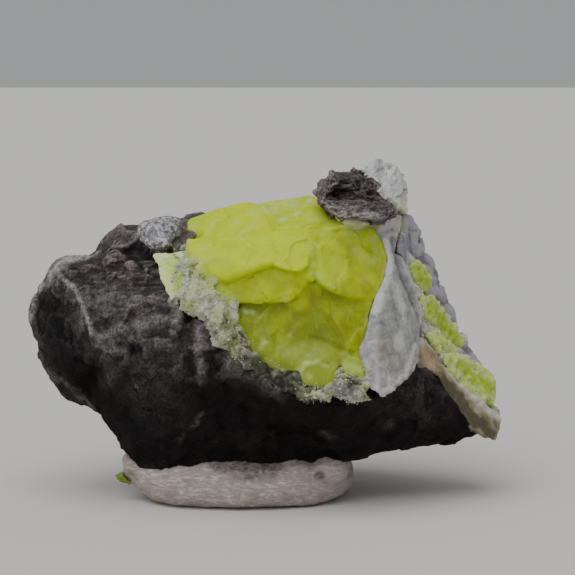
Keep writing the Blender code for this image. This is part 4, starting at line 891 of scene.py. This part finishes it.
points = scattered("spar_tip_large_points", tip, 40, (0.3, 0.6), 12, above_cap,
                   lift=-0.45, stretch=1.1)
crystals = scattered("spar_tip_crystals", tip, 70, (0.08, 0.20), 11, above_cap, lift=0.2)

# Drusy spar: the small crystals are clear to milky white, each a little different.
druse, druse_place = new_finish(
    "drusy_colourless_spar", Roughness=0.22, IOR=1.55, Transmission_Weight=0.35)
each = add(druse, "Attribute", attribute_name="tint").outputs["Fac"]
whites = add(druse, "ValToRGB", {0: each}, stops=[
    (0.0, "#A4A5A7"), (0.35, "#C8C8C7"), (1.0, "#ECECEA")])
dusting = add(druse, "TexNoise", {"Vector": druse_place, "Scale": scale_for(0.3), "Detail": 3.0})
pitted = add(druse, "Bump", {"Height": dusting, "Distance": 0.05 * MM, "Strength": 0.4})
connect(druse, Base_Color=whites, Normal=pitted)
for loose in (points, crystals):
    finished(loose, druse, "spar", flat=True)


def broken_edges(spots):
    """Mostly along the plate's ragged foot and its left edge."""
    return 0.05 + strokes(
        spots,
        (1.0, 1.0, (20.6, -8.6, 18.6), (19.4, -10.8, 16.4), (17.6, -12.2, 14.8),
         (15.2, -12.4, 14.6)),
        (0.8, 0.5, (15.2, -9.4, 22.6), (14.8, -10.6, 18.4), (14.6, -11.6, 16.4)),
        (1.2, 0.4, (17.2, -6.6, 28.6), (15.4, -7.0, 32.2)))


frost_grains = scattered(
    "gypsum_plate_frost", plate, 420, (0.03, 0.10), 14, broken_edges, lift=0.2)
finished(frost_grains, druse, "gypsum", flat=True)


# ---- Spar knob
# A rounded knob on the left shoulder, built of sparkling grey crystals; its right side is
# coated with brown marl, like the stone it grew on.

brown_side = [(-5.7, -4.2, 31.7, 0.8), (-6.4, -3.4, 32.1, 0.8), (-6.3, -5.4, 31.2, 0.7),
              (-7.0, -5.0, 30.4, 0.9), (-6.3, -6.2, 30.5, 0.8), (-6.0, -7.2, 30.5, 0.6)]
knob = fine_copy("spar_knob_core", "spar_knob", 0.19, 2, brown_side)
close_up(knob, ["sulfur_pocket", "limestone_matrix"])
where = places(knob)
where = raise_skin(knob, 0.15 * facets(where, 1.2, 2.0) + 0.05 * lumps(where, 0.6, 3.0)
                   + 0.02 * lumps(where, 0.3, 6.0, 2))
paint(knob, "dirt", 0.1 + 0.5 * lumps(where, 0.8, 5.0) - 3.0 * proud(knob, 6) + 0.9 * strokes(
    where, (2.8, 1.4, (-6.2, -5.6, 30.8), (-6.6, -3.8, 31.6), (-6.0, -1.0, 32.6)),
    (1.2, 0.7, (-8.2, -5.6, 31.0))))

# Grey spar: glassy facets that flash one by one, half a millimetre across, in a grey mass.
greyspar, greyspar_place = new_finish(
    "sparkling_grey_spar", Roughness=0.26, IOR=1.55, Transmission_Weight=0.2)
flecks = add(greyspar, "TexNoise", {"Vector": greyspar_place, "Scale": scale_for(0.5),
                                    "Detail": 5.0, "Roughness": 0.7})
greys = add(greyspar, "ValToRGB", {0: flecks}, stops=[
    (0.38, "#5C5C64"), (0.48, "#96959A"), (0.60, "#E2E1E4")])
greys = coated(greyspar, greys, ("dirt", "#584C43"))
crisp = add(greyspar, "Bump", {"Height": flecks, "Distance": 0.14 * MM, "Strength": 0.6})
connect(greyspar, Base_Color=greys, Normal=crisp)
finished(knob, greyspar, "spar", "spar_knob", flat=True)
sparkles = scattered("spar_knob_crystals", knob, 60, (0.08, 0.2), 23,
                     lambda spots: np.where(spots[:, 0] < -7.4, 1.0, 0.15), lift=0.15)
finished(sparkles, druse, "spar", flat=True)


# ---- Pocket crust
# Granular gypsum and sulfur sinter that edges the pocket from the slab to its foot: lumpy,
# white with a green tint, painted with shadow where the grains leave gaps and low down, and
# edged below by a dark olive lip that is partly painted shade.

corner_fill = [
    # middle and radius of the sinter packed into the pocket's corners
    (-5.3, -9.4, 28.9, 0.9), (-4.6, -10.2, 27.6, 1.2), (-3.4, -10.9, 26.2, 1.3),
    (-1.9, -11.2, 24.8, 1.1), (12.0, -11.9, 16.0, 0.9), (11.4, -12.2, 15.2, 0.9),
    (14.6, -12.0, 15.4, 0.8), (15.0, -11.4, 17.0, 0.7), (6.0, -12.6, 16.0, 0.6),
    (-7.3, -11.6, 25.2, 0.9), (-6.4, -12.0, 25.8, 1.0), (-7.0, -11.2, 26.6, 0.8),
    (-0.8, -11.6, 23.2, 0.8), (0.0, -12.0, 21.6, 0.8), (0.8, -12.3, 19.9, 0.8),
    (1.9, -12.6, 18.2, 0.7), (13.2, -12.0, 15.2, 0.9), (-6.6, -8.4, 29.9, 0.9),
    (-6.1, -9.2, 29.2, 0.8), (-0.8, -11.2, 24.4, 1.0), (13.2, -12.4, 15.8, 0.8),
    (-0.8, -10.3, 24.6, 1.1), (-1.6, -10.6, 25.2, 0.9), (4.4, -12.4, 16.9, 0.6),
    (5.6, -12.4, 16.7, 0.6), (6.5, -12.6, 16.4, 0.6), (11.4, -11.4, 16.6, 0.8),
    (-6.8, -10.6, 27.5, 0.8), (-6.6, -10.0, 28.4, 0.7),
]
crust = fine_copy("pocket_crust_sinter", "pocket_crust", 0.13, 1, corner_fill)
close_up(crust, ["sulfur_pocket", "sulfur_slab", "limestone_matrix"])
where = places(crust)
low_rim = (np.clip(1.6 - np.abs(where[:, 0] - 4.3) / 3.0, 0, 1)
           * np.clip((19.4 - where[:, 2]) / 1.4, 0, 1))
thin = strokes(where, (2.2, 0.35, (2.4, -13.4, 17.4), (5.4, -13.5, 15.6), (8.4, -13.6, 14.2)),
               (1.8, 0.45, (-4.6, -10.4, 28.4), (-3.0, -11.0, 26.6), (-2.4, -11.2, 26.0)))
where = raise_skin(crust, (1 - 0.6 * low_rim) * (
    0.26 * lumps(where, 1.5, 2.0, 2) + 0.14 * facets(where, 0.7, 4.0)
    + 0.08 * lumps(where, 0.5, 4.0, 2) + 0.07 * lumps(where, 0.25, 5.0, 2)) - 0.05 - thin)
front, most_over = -13.8, 0.3  # skin past the front plane is eased back to within most_over of it
over = np.clip(front - where[:, 1], 0, None)
where[:, 1] += over - most_over * over / (most_over + over)
put(crust, where)
paint(crust, "shadow", -2.2 * proud(crust, 5) + 1.0 * np.clip(lumps(where, 1.0, 9.0) - 0.25, 0, 1)
      + strokes(where, (2.4, 0.85, (-1.6, -12.4, 22.0), (0.6, -12.8, 19.4), (2.0, -13.2, 17.6)),
                (1.2, 0.8, (11.2, -12.9, 15.8), (12.6, -12.6, 16.0), (13.6, -12.4, 15.6)),
                (1.6, 0.7, (10.4, -13.9, 14.8), (13.0, -13.2, 15.0), (14.8, -13.0, 14.2))))
paint(crust, "green", 0.24 + 0.7 * lumps(where, 1.6, 3.0) + strokes(
    where, (2.0, 0.6, (-1.4, -12.2, 22.6), (0.4, -12.8, 19.6)), (1.4, 0.5, (7.0, -13.4, 15.0)),
    (2.0, 1.2, (-5.0, -9.8, 29.2), (-3.4, -10.8, 27.4), (-1.8, -11.4, 25.6))))
# the dark olive lip under the pocket, partly painted shade
paint(crust, "olive_lip_and_shade", low_rim * (1.0 + 0.5 * lumps(where, 0.8, 2.0)))
paint(crust, "silver", strokes(where, (1.6, 1.0, (11.6, -13.4, 15.2), (12.8, -13.2, 14.8)),
                               (1.0, 0.6, (5.6, -13.4, 16.0))))

# Sinter: sugary grains of a third of a millimetre, no gloss, light goes a little way in.
sinter, sinter_place = new_finish(
    "granular_white_sinter", Roughness=0.75, Subsurface_Weight=0.3, Subsurface_Scale=0.8 * MM)
sugar = add(sinter, "TexNoise", {"Vector": sinter_place, "Scale": scale_for(0.35), "Detail": 5.0,
                                 "Roughness": 0.7})
snow = add(sinter, "ValToRGB", {0: sugar}, stops=[
    (0.34, "#979B83"), (0.50, "#BFC3AC"), (0.66, "#DCDFD2")])
snow = coated(sinter, snow, ("green", "#B2BF6A"), ("silver", "#9A9A9C"), ("olive_lip_and_shade", "#26271D"),
              ("shadow", "#414233"))
sugary = add(sinter, "Bump", {"Height": sugar, "Distance": 0.16 * MM, "Strength": 0.8})
connect(sinter, Base_Color=snow, Normal=sugary)
finished(crust, sinter, "crust", "pocket_crust")


def patchy(spots):
    """Grains gather in patches a millimetre or so across."""
    return np.clip(0.15 + 1.8 * lumps(spots, 1.1, 6.0), 0.02, 1)


edge = [(-6.3, -9.6, 29.0), (-4.4, -10.6, 27.0), (-2.6, -11.4, 25.0), (-1.0, -11.8, 22.6),
        (0.2, -12.0, 20.6), (1.8, -12.6, 18.4), (5.0, -12.8, 16.4), (8.0, -13.2, 15.0),
        (12.0, -13.0, 15.0), (14.6, -12.4, 15.0)]
grains = scattered(
    "pocket_crust_grains", crust, 1500, (0.06, 0.19), 31,
    lambda spots: patchy(spots) * np.where((spots[:, 0] > 0.8) & (spots[:, 0] < 7.4), 0.06, 1.0),
    lift=0.05)
stray = scattered(
    "stray_grains_on_sulfur", pocket, 220, (0.05, 0.11), 37,
    lambda spots: patchy(spots) * strokes(spots, (1.7, 1.0, *edge)), lift=0.3)
strewn = scattered(
    "stray_grains_on_stone", stone, 360, (0.05, 0.16), 41,
    lambda spots: patchy(spots) * strokes(spots, (2.2, 1.0, *edge[:5]), (1.4, 0.3, *edge[4:])),
    lift=0.3)

# The loose grains on the crust are sugar-like: white, cream or faintly green, one by one.
sugar_grain, sugar_place = new_finish("sugar_like_grains", Roughness=0.6)
each = add(sugar_grain, "Attribute", attribute_name="tint").outputs["Fac"]
tones = add(sugar_grain, "ValToRGB", {0: each}, stops=[
    (0.0, "#979C7C"), (0.25, "#B3BA93"), (0.5, "#C6CBB2"), (0.8, "#D8DACD"), (1.0, "#E6E7E1")])
dusting = add(sugar_grain, "TexNoise", {"Vector": sugar_place, "Scale": scale_for(0.2),
                                        "Detail": 3.0})
pitted = add(sugar_grain, "Bump", {"Height": dusting, "Distance": 0.05 * MM, "Strength": 0.5})
connect(sugar_grain, Base_Color=tones, Normal=pitted)
for loose in (grains, stray, strewn):
    finished(loose, sugar_grain, "crust", flat=True)


# ---- Flank crust
# The grey sheath of the right flank: grape-like calcite, lavender grey, lighter on the crown
# of every knob, with white rims where it meets the sulfur.


def knobs(where, size, seed):
    """Grape-like swellings of that size: 1 on each crown, 0 in the valleys between."""
    spots = where / size + np.array((seed, 1.3 * seed, -seed))
    return np.array([math.sqrt(max(0.0, 1 - min(1.0, 1.5 * noise.voronoi(s)[0][0]) ** 2))
                     for s in spots.tolist()])


seam = [(21.2, -3.1, 23.2), (21.2, -3.7, 21.4), (22.2, -3.5, 19.6), (23.5, -3.1, 17.9),
        (24.7, -2.9, 16.3), (26.0, -2.8, 14.7)]
under_upper = [(19.9, -2.4, 27.4), (20.6, -1.8, 25.6), (21.6, -0.8, 24.7)]
above_middle = [(21.6, -2.6, 24.4), (23.4, -0.2, 24.4), (25.0, 3.0, 21.4), (27.2, 5.6, 18.4)]
above_lower = [(22.4, -2.0, 20.8), (24.2, 0.4, 18.6), (25.6, 2.6, 17.2), (27.6, 3.6, 16.0)]
ridge_radius, lumps_per_run = 0.75, 3
ridge = [(*(np.array(start) + at / lumps_per_run * (np.array(end) - start)), ridge_radius)
         for start, end in zip(seam, seam[1:]) for at in range(lumps_per_run)]
sheath = fine_copy("flank_crust_sheath", "flank_crust", 0.15, 7, ridge + [
    (23.9, 0.4, 17.2, 0.9), (18.7, -2.6, 31.8, 0.9), (18.8, -3.2, 30.4, 1.1),
    (19.2, -3.6, 28.8, 0.9), (18.9, -3.7, 30.2, 1.1), (18.8, -3.3, 31.4, 1.0),
    (19.0, -4.2, 29.4, 1.0)])
close_up(sheath, ["sulfur_flank_upper", "sulfur_flank_middle", "sulfur_flank_lower",
                  "gypsum_plate", "spar_tip", "calcite_band"], 0.8, 0.3)
where = places(sheath)
crowns = knobs(where, 1.9, 2.0) * np.clip((where[:, 1] + 2.6) / 3.0, 0.15, 1)
beds = strokes(where, *[(1.9, 1.0, *middle) for _, _, _, *middle in flank_bodies[:3]])
rims = strokes(
    where,
    (1.4, 1.1, (19.6, -1.6, 29.0), (21.4, -0.2, 28.9), (22.6, 1.4, 27.4), (23.2, 2.2, 25.6)),
    (1.5, 1.1, *under_upper), (1.3, 1.1, *above_middle), (1.8, 1.1, *above_lower),
    (0.8, 0.8, (19.4, -2.8, 32.0), (19.6, -2.6, 29.6)),
    (1.7, 1.0, *seam),
)
where = raise_skin(
    sheath,
    (0.42 * crowns + 0.08 * knobs(where, 0.8, 5.0)) * (1 - 0.8 * beds) - 0.30
    + rims * (0.30 + 0.35 * lumps(where, 1.3, 6.0, 2)) + 0.05 * lumps(where, 0.4, 2.0))
paint(sheath, "crown", 1.3 * crowns - 0.25 + 0.4 * lumps(where, 0.8, 3.0))
paint(sheath, "rim", rims * (0.8 + 0.6 * lumps(where, 0.6, 8.0)))
paint(sheath, "lemon", (0.6 + 0.8 * lumps(where, 0.8, 4.0)) * strokes(
    where, (1.5, 0.9, (19.6, -1.6, 33.0), (19.7, -2.2, 31.4)),
    (1.2, 0.6, (21.4, -2.0, 24.6), (20.9, -3.0, 22.6)),
    (1.8, 0.9, (22.4, -2.6, 20.6), (24.0, -1.6, 18.6), (25.4, -1.6, 16.8))))
# painted shade: darker in the valleys between the knobs
paint(sheath, "gap", -5.0 * proud(sheath, 6) - 0.1)

# Botryoidal calcite: waxy, finely clouded, with painted shade in the valleys between its knobs.
grape, grape_place = new_finish(
    "grape_like_grey_calcite", Roughness=0.48, IOR=1.6, Subsurface_Weight=0.15,
    Subsurface_Scale=0.8 * MM)
mist = add(grape, "TexNoise", {"Vector": grape_place, "Scale": scale_for(0.7), "Detail": 6.0,
                               "Roughness": 0.68})
lavender = add(grape, "ValToRGB", {0: mist}, stops=[
    (0.32, "#6C6A72"), (0.50, "#807E87"), (0.70, "#9C9BA2")])
lavender = coated(grape, lavender, ("crown", "#A6A5AC"), ("lemon", "#B3BA4A"), ("gap", "#55535A"),
                  ("rim", "#DFE0D2"))
misty = add(grape, "Bump", {"Height": mist, "Distance": 0.12 * MM, "Strength": 0.5})
connect(grape, Base_Color=lavender, Normal=misty)
finished(sheath, grape, "flank_crust", "flank_crust")
rim_grains = scattered(
    "flank_rim_grains", sheath, 460, (0.09, 0.27), 51,
    lambda spots: 0.005 + strokes(
        spots, (1.0, 1.0, *seam), (0.8, 0.8, *under_upper), (0.9, 1.0, *above_middle),
        (1.2, 1.0, *above_lower)), lift=0.0)
finished(rim_grains, sugar_grain, "flank_crust", flat=True)
grain_counts = 60, 140, 220  # each is also the seed of its own scatter
for piece, count, (name, _, _, *middle) in zip(flank_pieces, grain_counts, flank_bodies):
    coat = scattered(name + "_grains", piece, count, (0.09, 0.26), count,
                     lambda spots: 1.02 - strokes(spots, (1.8, 1.0, *middle)), lift=0.0)
    finished(coat, sugar_grain, "flank_crust", flat=True)


# ---- Calcite band
# The broken edge of the flank's layer: cream and tan calcite with an orange stain near its
# top, waxy on the fractures and chalky where it has weathered.

band = fine_copy("calcite_band_edge", "calcite_band", 0.14, 3)
close_up(band, ["sulfur_flank_lower", "gypsum_plate", "limestone_matrix"], 1.0, 0.45)
where = places(band)
raise_skin(band, 0.14 * facets(where, 1.8, 3.0) + 0.16 * lumps(where, 1.6, 2.0, 2)
           + 0.04 * lumps(where, 0.45, 5.0, 2) - 0.06)
where = kept_within(band, 0, most=31.5)
paint(band, "orange", (0.8 + 0.5 * lumps(where, 0.8, 1.0)) * strokes(
    where, (1.7, 0.95, (21.6, -7.2, 18.9), (22.6, -6.8, 17.0)), (1.0, 0.5, (23.4, -6.4, 15.6))))
stripe = strokes(where, (
    1.5, 1.5, (23.8, -6.2, 15.2), (24.6, -5.7, 14.3), (25.6, -5.2, 13.0), (26.6, -4.8, 11.8),
    (27.9, -3.9, 10.2), (29.2, -3.0, 8.8), (30.0, -2.2, 7.8)))
paint(band, "tan", 0.30 + 0.9 * lumps(where, 1.4, 6.0) + stripe)
paint(band, "chalk", 2.5 * proud(band, 6) - 1.5 * stripe + strokes(
    where,
    (1.1, 0.9, (24.4, -4.6, 16.6), (26.6, -3.5, 13.8), (28.2, -2.4, 12.2), (29.8, -1.2, 10.6),
     (31.2, 0.0, 9.4)),
    (1.4, 0.5, (21.0, -7.6, 20.0), (22.6, -5.6, 19.4)), (1.2, 0.4, (31.2, 0.6, 8.4))))
# painted shade: darker in the crevices
paint(band, "gap", -5.0 * proud(band, 6) - 0.1)

# Weathered calcite: waxy, marbled in cream and tan at about a millimetre, chalky on its edges.
calcite, calcite_place = new_finish(
    "cream_calcite", Roughness=0.52, IOR=1.6, Subsurface_Weight=0.2, Subsurface_Scale=0.9 * MM)
marble = add(calcite, "TexNoise", {"Vector": calcite_place, "Scale": scale_for(1.1), "Detail": 6.0,
                                   "Roughness": 0.65, "Distortion": 0.6})
cream = add(calcite, "ValToRGB", {0: marble}, stops=[
    (0.30, "#7E7354"), (0.48, "#9A8F6E"), (0.68, "#B3AA8C")])
cream = coated(calcite, cream, ("tan", "#51482B"), ("orange", "#B08A64"), ("chalk", "#D0CDBF"),
               ("gap", "#5E5145"))
grainy = add(calcite, "Bump", {"Height": marble, "Distance": 0.15 * MM, "Strength": 0.55})
connect(calcite, Base_Color=cream, Normal=grainy)
finished(band, calcite, "calcite", "calcite_band")


# ---- Limestone cap
# A curled flake of the same marl left on top of the crystals: it splits into thin leaves, is
# pitted where grains fell out, and has a hollow between its rims that is painted dark as shade.

cap = fine_copy("limestone_cap_flake", "limestone_cap", 0.13, 2)
close_up(cap, ["sulfur_pocket", "gypsum_plate", "spar_tip"], 1.0, 0.4)
where = places(cap)
leafy = where @ np.array(((0.35, 0.0, 0.12), (0.0, 0.35, -0.20), (-0.10, 0.22, 1.3)))
holes = np.clip(lumps(where, 0.7, 7.0, 2) - 0.2, 0, 1)
where = raise_skin(
    cap,
    0.32 * lumps(leafy, 0.8, 3.0) + 0.16 * facets(leafy, 0.9, 6.0)
    + 0.05 * lumps(where, 0.35, 5.0, 2) - 0.35 * holes - 0.08
    - strokes(where, (2.2, 1.1, (12.4, -2.8, 37.4), (14.8, -2.4, 37.2))),
)
broad, fine = proud(cap, 10), proud(cap, 3)
paint(cap, "worn", 2.0 * np.clip(broad, 0, 1) + 6.0 * np.clip(fine, 0, 1) + 0.08)
# painted shade: darker in the hollows and in the hollow between the rims
paint(cap, "painted_hollow_shade", -3.5 * np.clip(broad, -1, 0) - 6.0 * np.clip(fine, -1, 0) + strokes(
    where, (1.9, 0.9, (12.4, -2.4, 37.2), (15.0, -2.0, 36.8))))
paint(cap, "pale", (0.8 + 0.6 * lumps(where, 0.7, 2.0)) * strokes(
    where, (1.6, 0.5, (10.6, -7.6, 34.8), (13.4, -8.7, 34.8), (16.6, -8.4, 34.0)),
    (1.4, 0.4, (9.2, -3.0, 37.4), (10.6, -1.4, 39.0))))
paint(cap, "powder", 0.30 + 0.5 * lumps(where, 1.2, 8.0))
paint(cap, "bedded", np.full(len(where), 0.8))
for absent in ("rust", "olive", "slate", "foot"):
    paint(cap, absent, np.zeros(len(where)))
finished(cap, marl, "limestone", "limestone_cap")


# ---- Display putty
# A pad of pinkish white putty pressed by hand: smooth skin with fine creases, smeared grey
# where the stone has rubbed it, drawn up into a lip at its left end.

drawn_up = [
    # middle and radii of putty squeezed up round the stone
    (-12.9, -3.4, 4.3, 1.0, 1.4, 1.4), (-13.2, -1.4, 4.4, 0.9, 1.8, 1.4),
    (-12.6, 1.0, 4.2, 1.0, 1.8, 1.2), (-11.4, -4.8, 4.1, 1.6, 1.0, 1.2),
    (10.4, -6.6, 4.2, 2.6, 2.0, 1.5), (11.6, -2.0, 4.4, 1.8, 3.0, 1.3),
    (3.0, -8.6, 4.0, 3.0, 1.2, 1.3), (-4.0, -8.4, 3.8, 3.6, 1.4, 1.4),
]
pad = fine_copy("display_putty_pad", "display_putty", 0.2, 8, drawn_up)
close_up(pad, ["limestone_matrix", "putty_crumb"], 1.0, 0.45)
where = places(pad)
creased = where @ np.array(((0.45, 0.0, 0.0), (0.0, 0.45, 0.0), (0.0, 0.0, 1.0)))
above_table = np.clip(where[:, 2] / 0.5, 0, 1)
crease, depth = np.abs(lumps(creased, 1.3, 5.0, 2)), 0.10
raise_skin(pad, above_table * (
    0.26 * lumps(where, 3.4, 2.0, 2) + 0.10 * lumps(creased, 0.9, 3.0)
    - np.clip(depth - crease, 0, depth)
    - strokes(where, (0.9, 0.7, (9.5, -8.2, 3.9)), (0.9, 0.25, (-9.0, -7.6, 2.0)))))
where = kept_within(pad, 2, least=0.001)
paint(pad, "smear", strokes(
    where,
    (2.4, 2.4, (-1.8, -8.4, 5.6), (0.4, -8.6, 5.4), (3.7, -8.6, 5.3)),
    (1.4, 1.3, (-0.4, -9.4, 4.2), (2.2, -9.4, 4.0)), (0.9, 2.4, (9.5, -8.2, 3.9)),
    (1.7, 0.7, (-11.6, -4.4, 4.6), (-9.6, -5.6, 5.2), (-6.6, -6.8, 5.4), (-3.0, -8.0, 5.6)),
    (1.7, 0.7, (3.7, -8.6, 5.4), (8.0, -7.4, 5.4), (11.0, -5.4, 5.2)), (3.0, 0.5, (2.0, 9.0, 4.0)),
) * (0.75 + 0.8 * lumps(where, 0.45, 2.0)))
paint(pad, "crease", -9.0 * proud(pad, 4) - 0.05)
paint(pad, "spot", np.clip(lumps(where, 0.35, 3.0, 2) - 0.62, 0, 1) * 4.0)

# Putty: matt and slightly waxy, light goes a little way in, darker in its creases.
putty, putty_place = new_finish(
    "pinkish_white_putty", Roughness=0.62, IOR=1.45, Subsurface_Weight=0.15,
    Subsurface_Scale=0.8 * MM)
knead = add(putty, "TexNoise", {"Vector": putty_place, "Scale": scale_for(2.4), "Detail": 5.0,
                                "Distortion": 1.0})
fibres = add(putty, "Mapping", {"Vector": putty_place, "Scale": (0.22, 0.22, 1.0)})
skin = add(putty, "TexNoise", {"Vector": fibres, "Scale": scale_for(0.35), "Detail": 4.0})
wrinkle = add(putty, "TexNoise", {"Vector": fibres, "Scale": scale_for(0.45), "Detail": 6.0,
                                  "Roughness": 0.75, "Distortion": 0.4})
lines = add(putty, "ValToRGB", {0: wrinkle}, stops=[
    (0.42, 0.0), (0.49, 0.75), (0.51, 0.75), (0.58, 0.0)])
pinkish = add(putty, "ValToRGB", {0: knead}, stops=[
    (0.30, "#B4A6A2"), (0.52, "#C6BAB6"), (0.72, "#D5CBC7")])
pinkish = coated(putty, pinkish, ("crease", "#9C8F8B"), ("spot", "#A89B97"), ("smear", "#564F4D"),
                 (lines, "#94877F"))
folds = add(putty, "Bump", {"Height": lines, "Distance": 0.10 * MM, "Strength": 0.5}, invert=True)
pressed = add(putty, "Bump", {"Height": skin, "Distance": 0.14 * MM, "Strength": 0.6,
                              "Normal": folds})
connect(putty, Base_Color=pinkish, Normal=pressed)
finished(pad, putty, "putty", "display_putty")
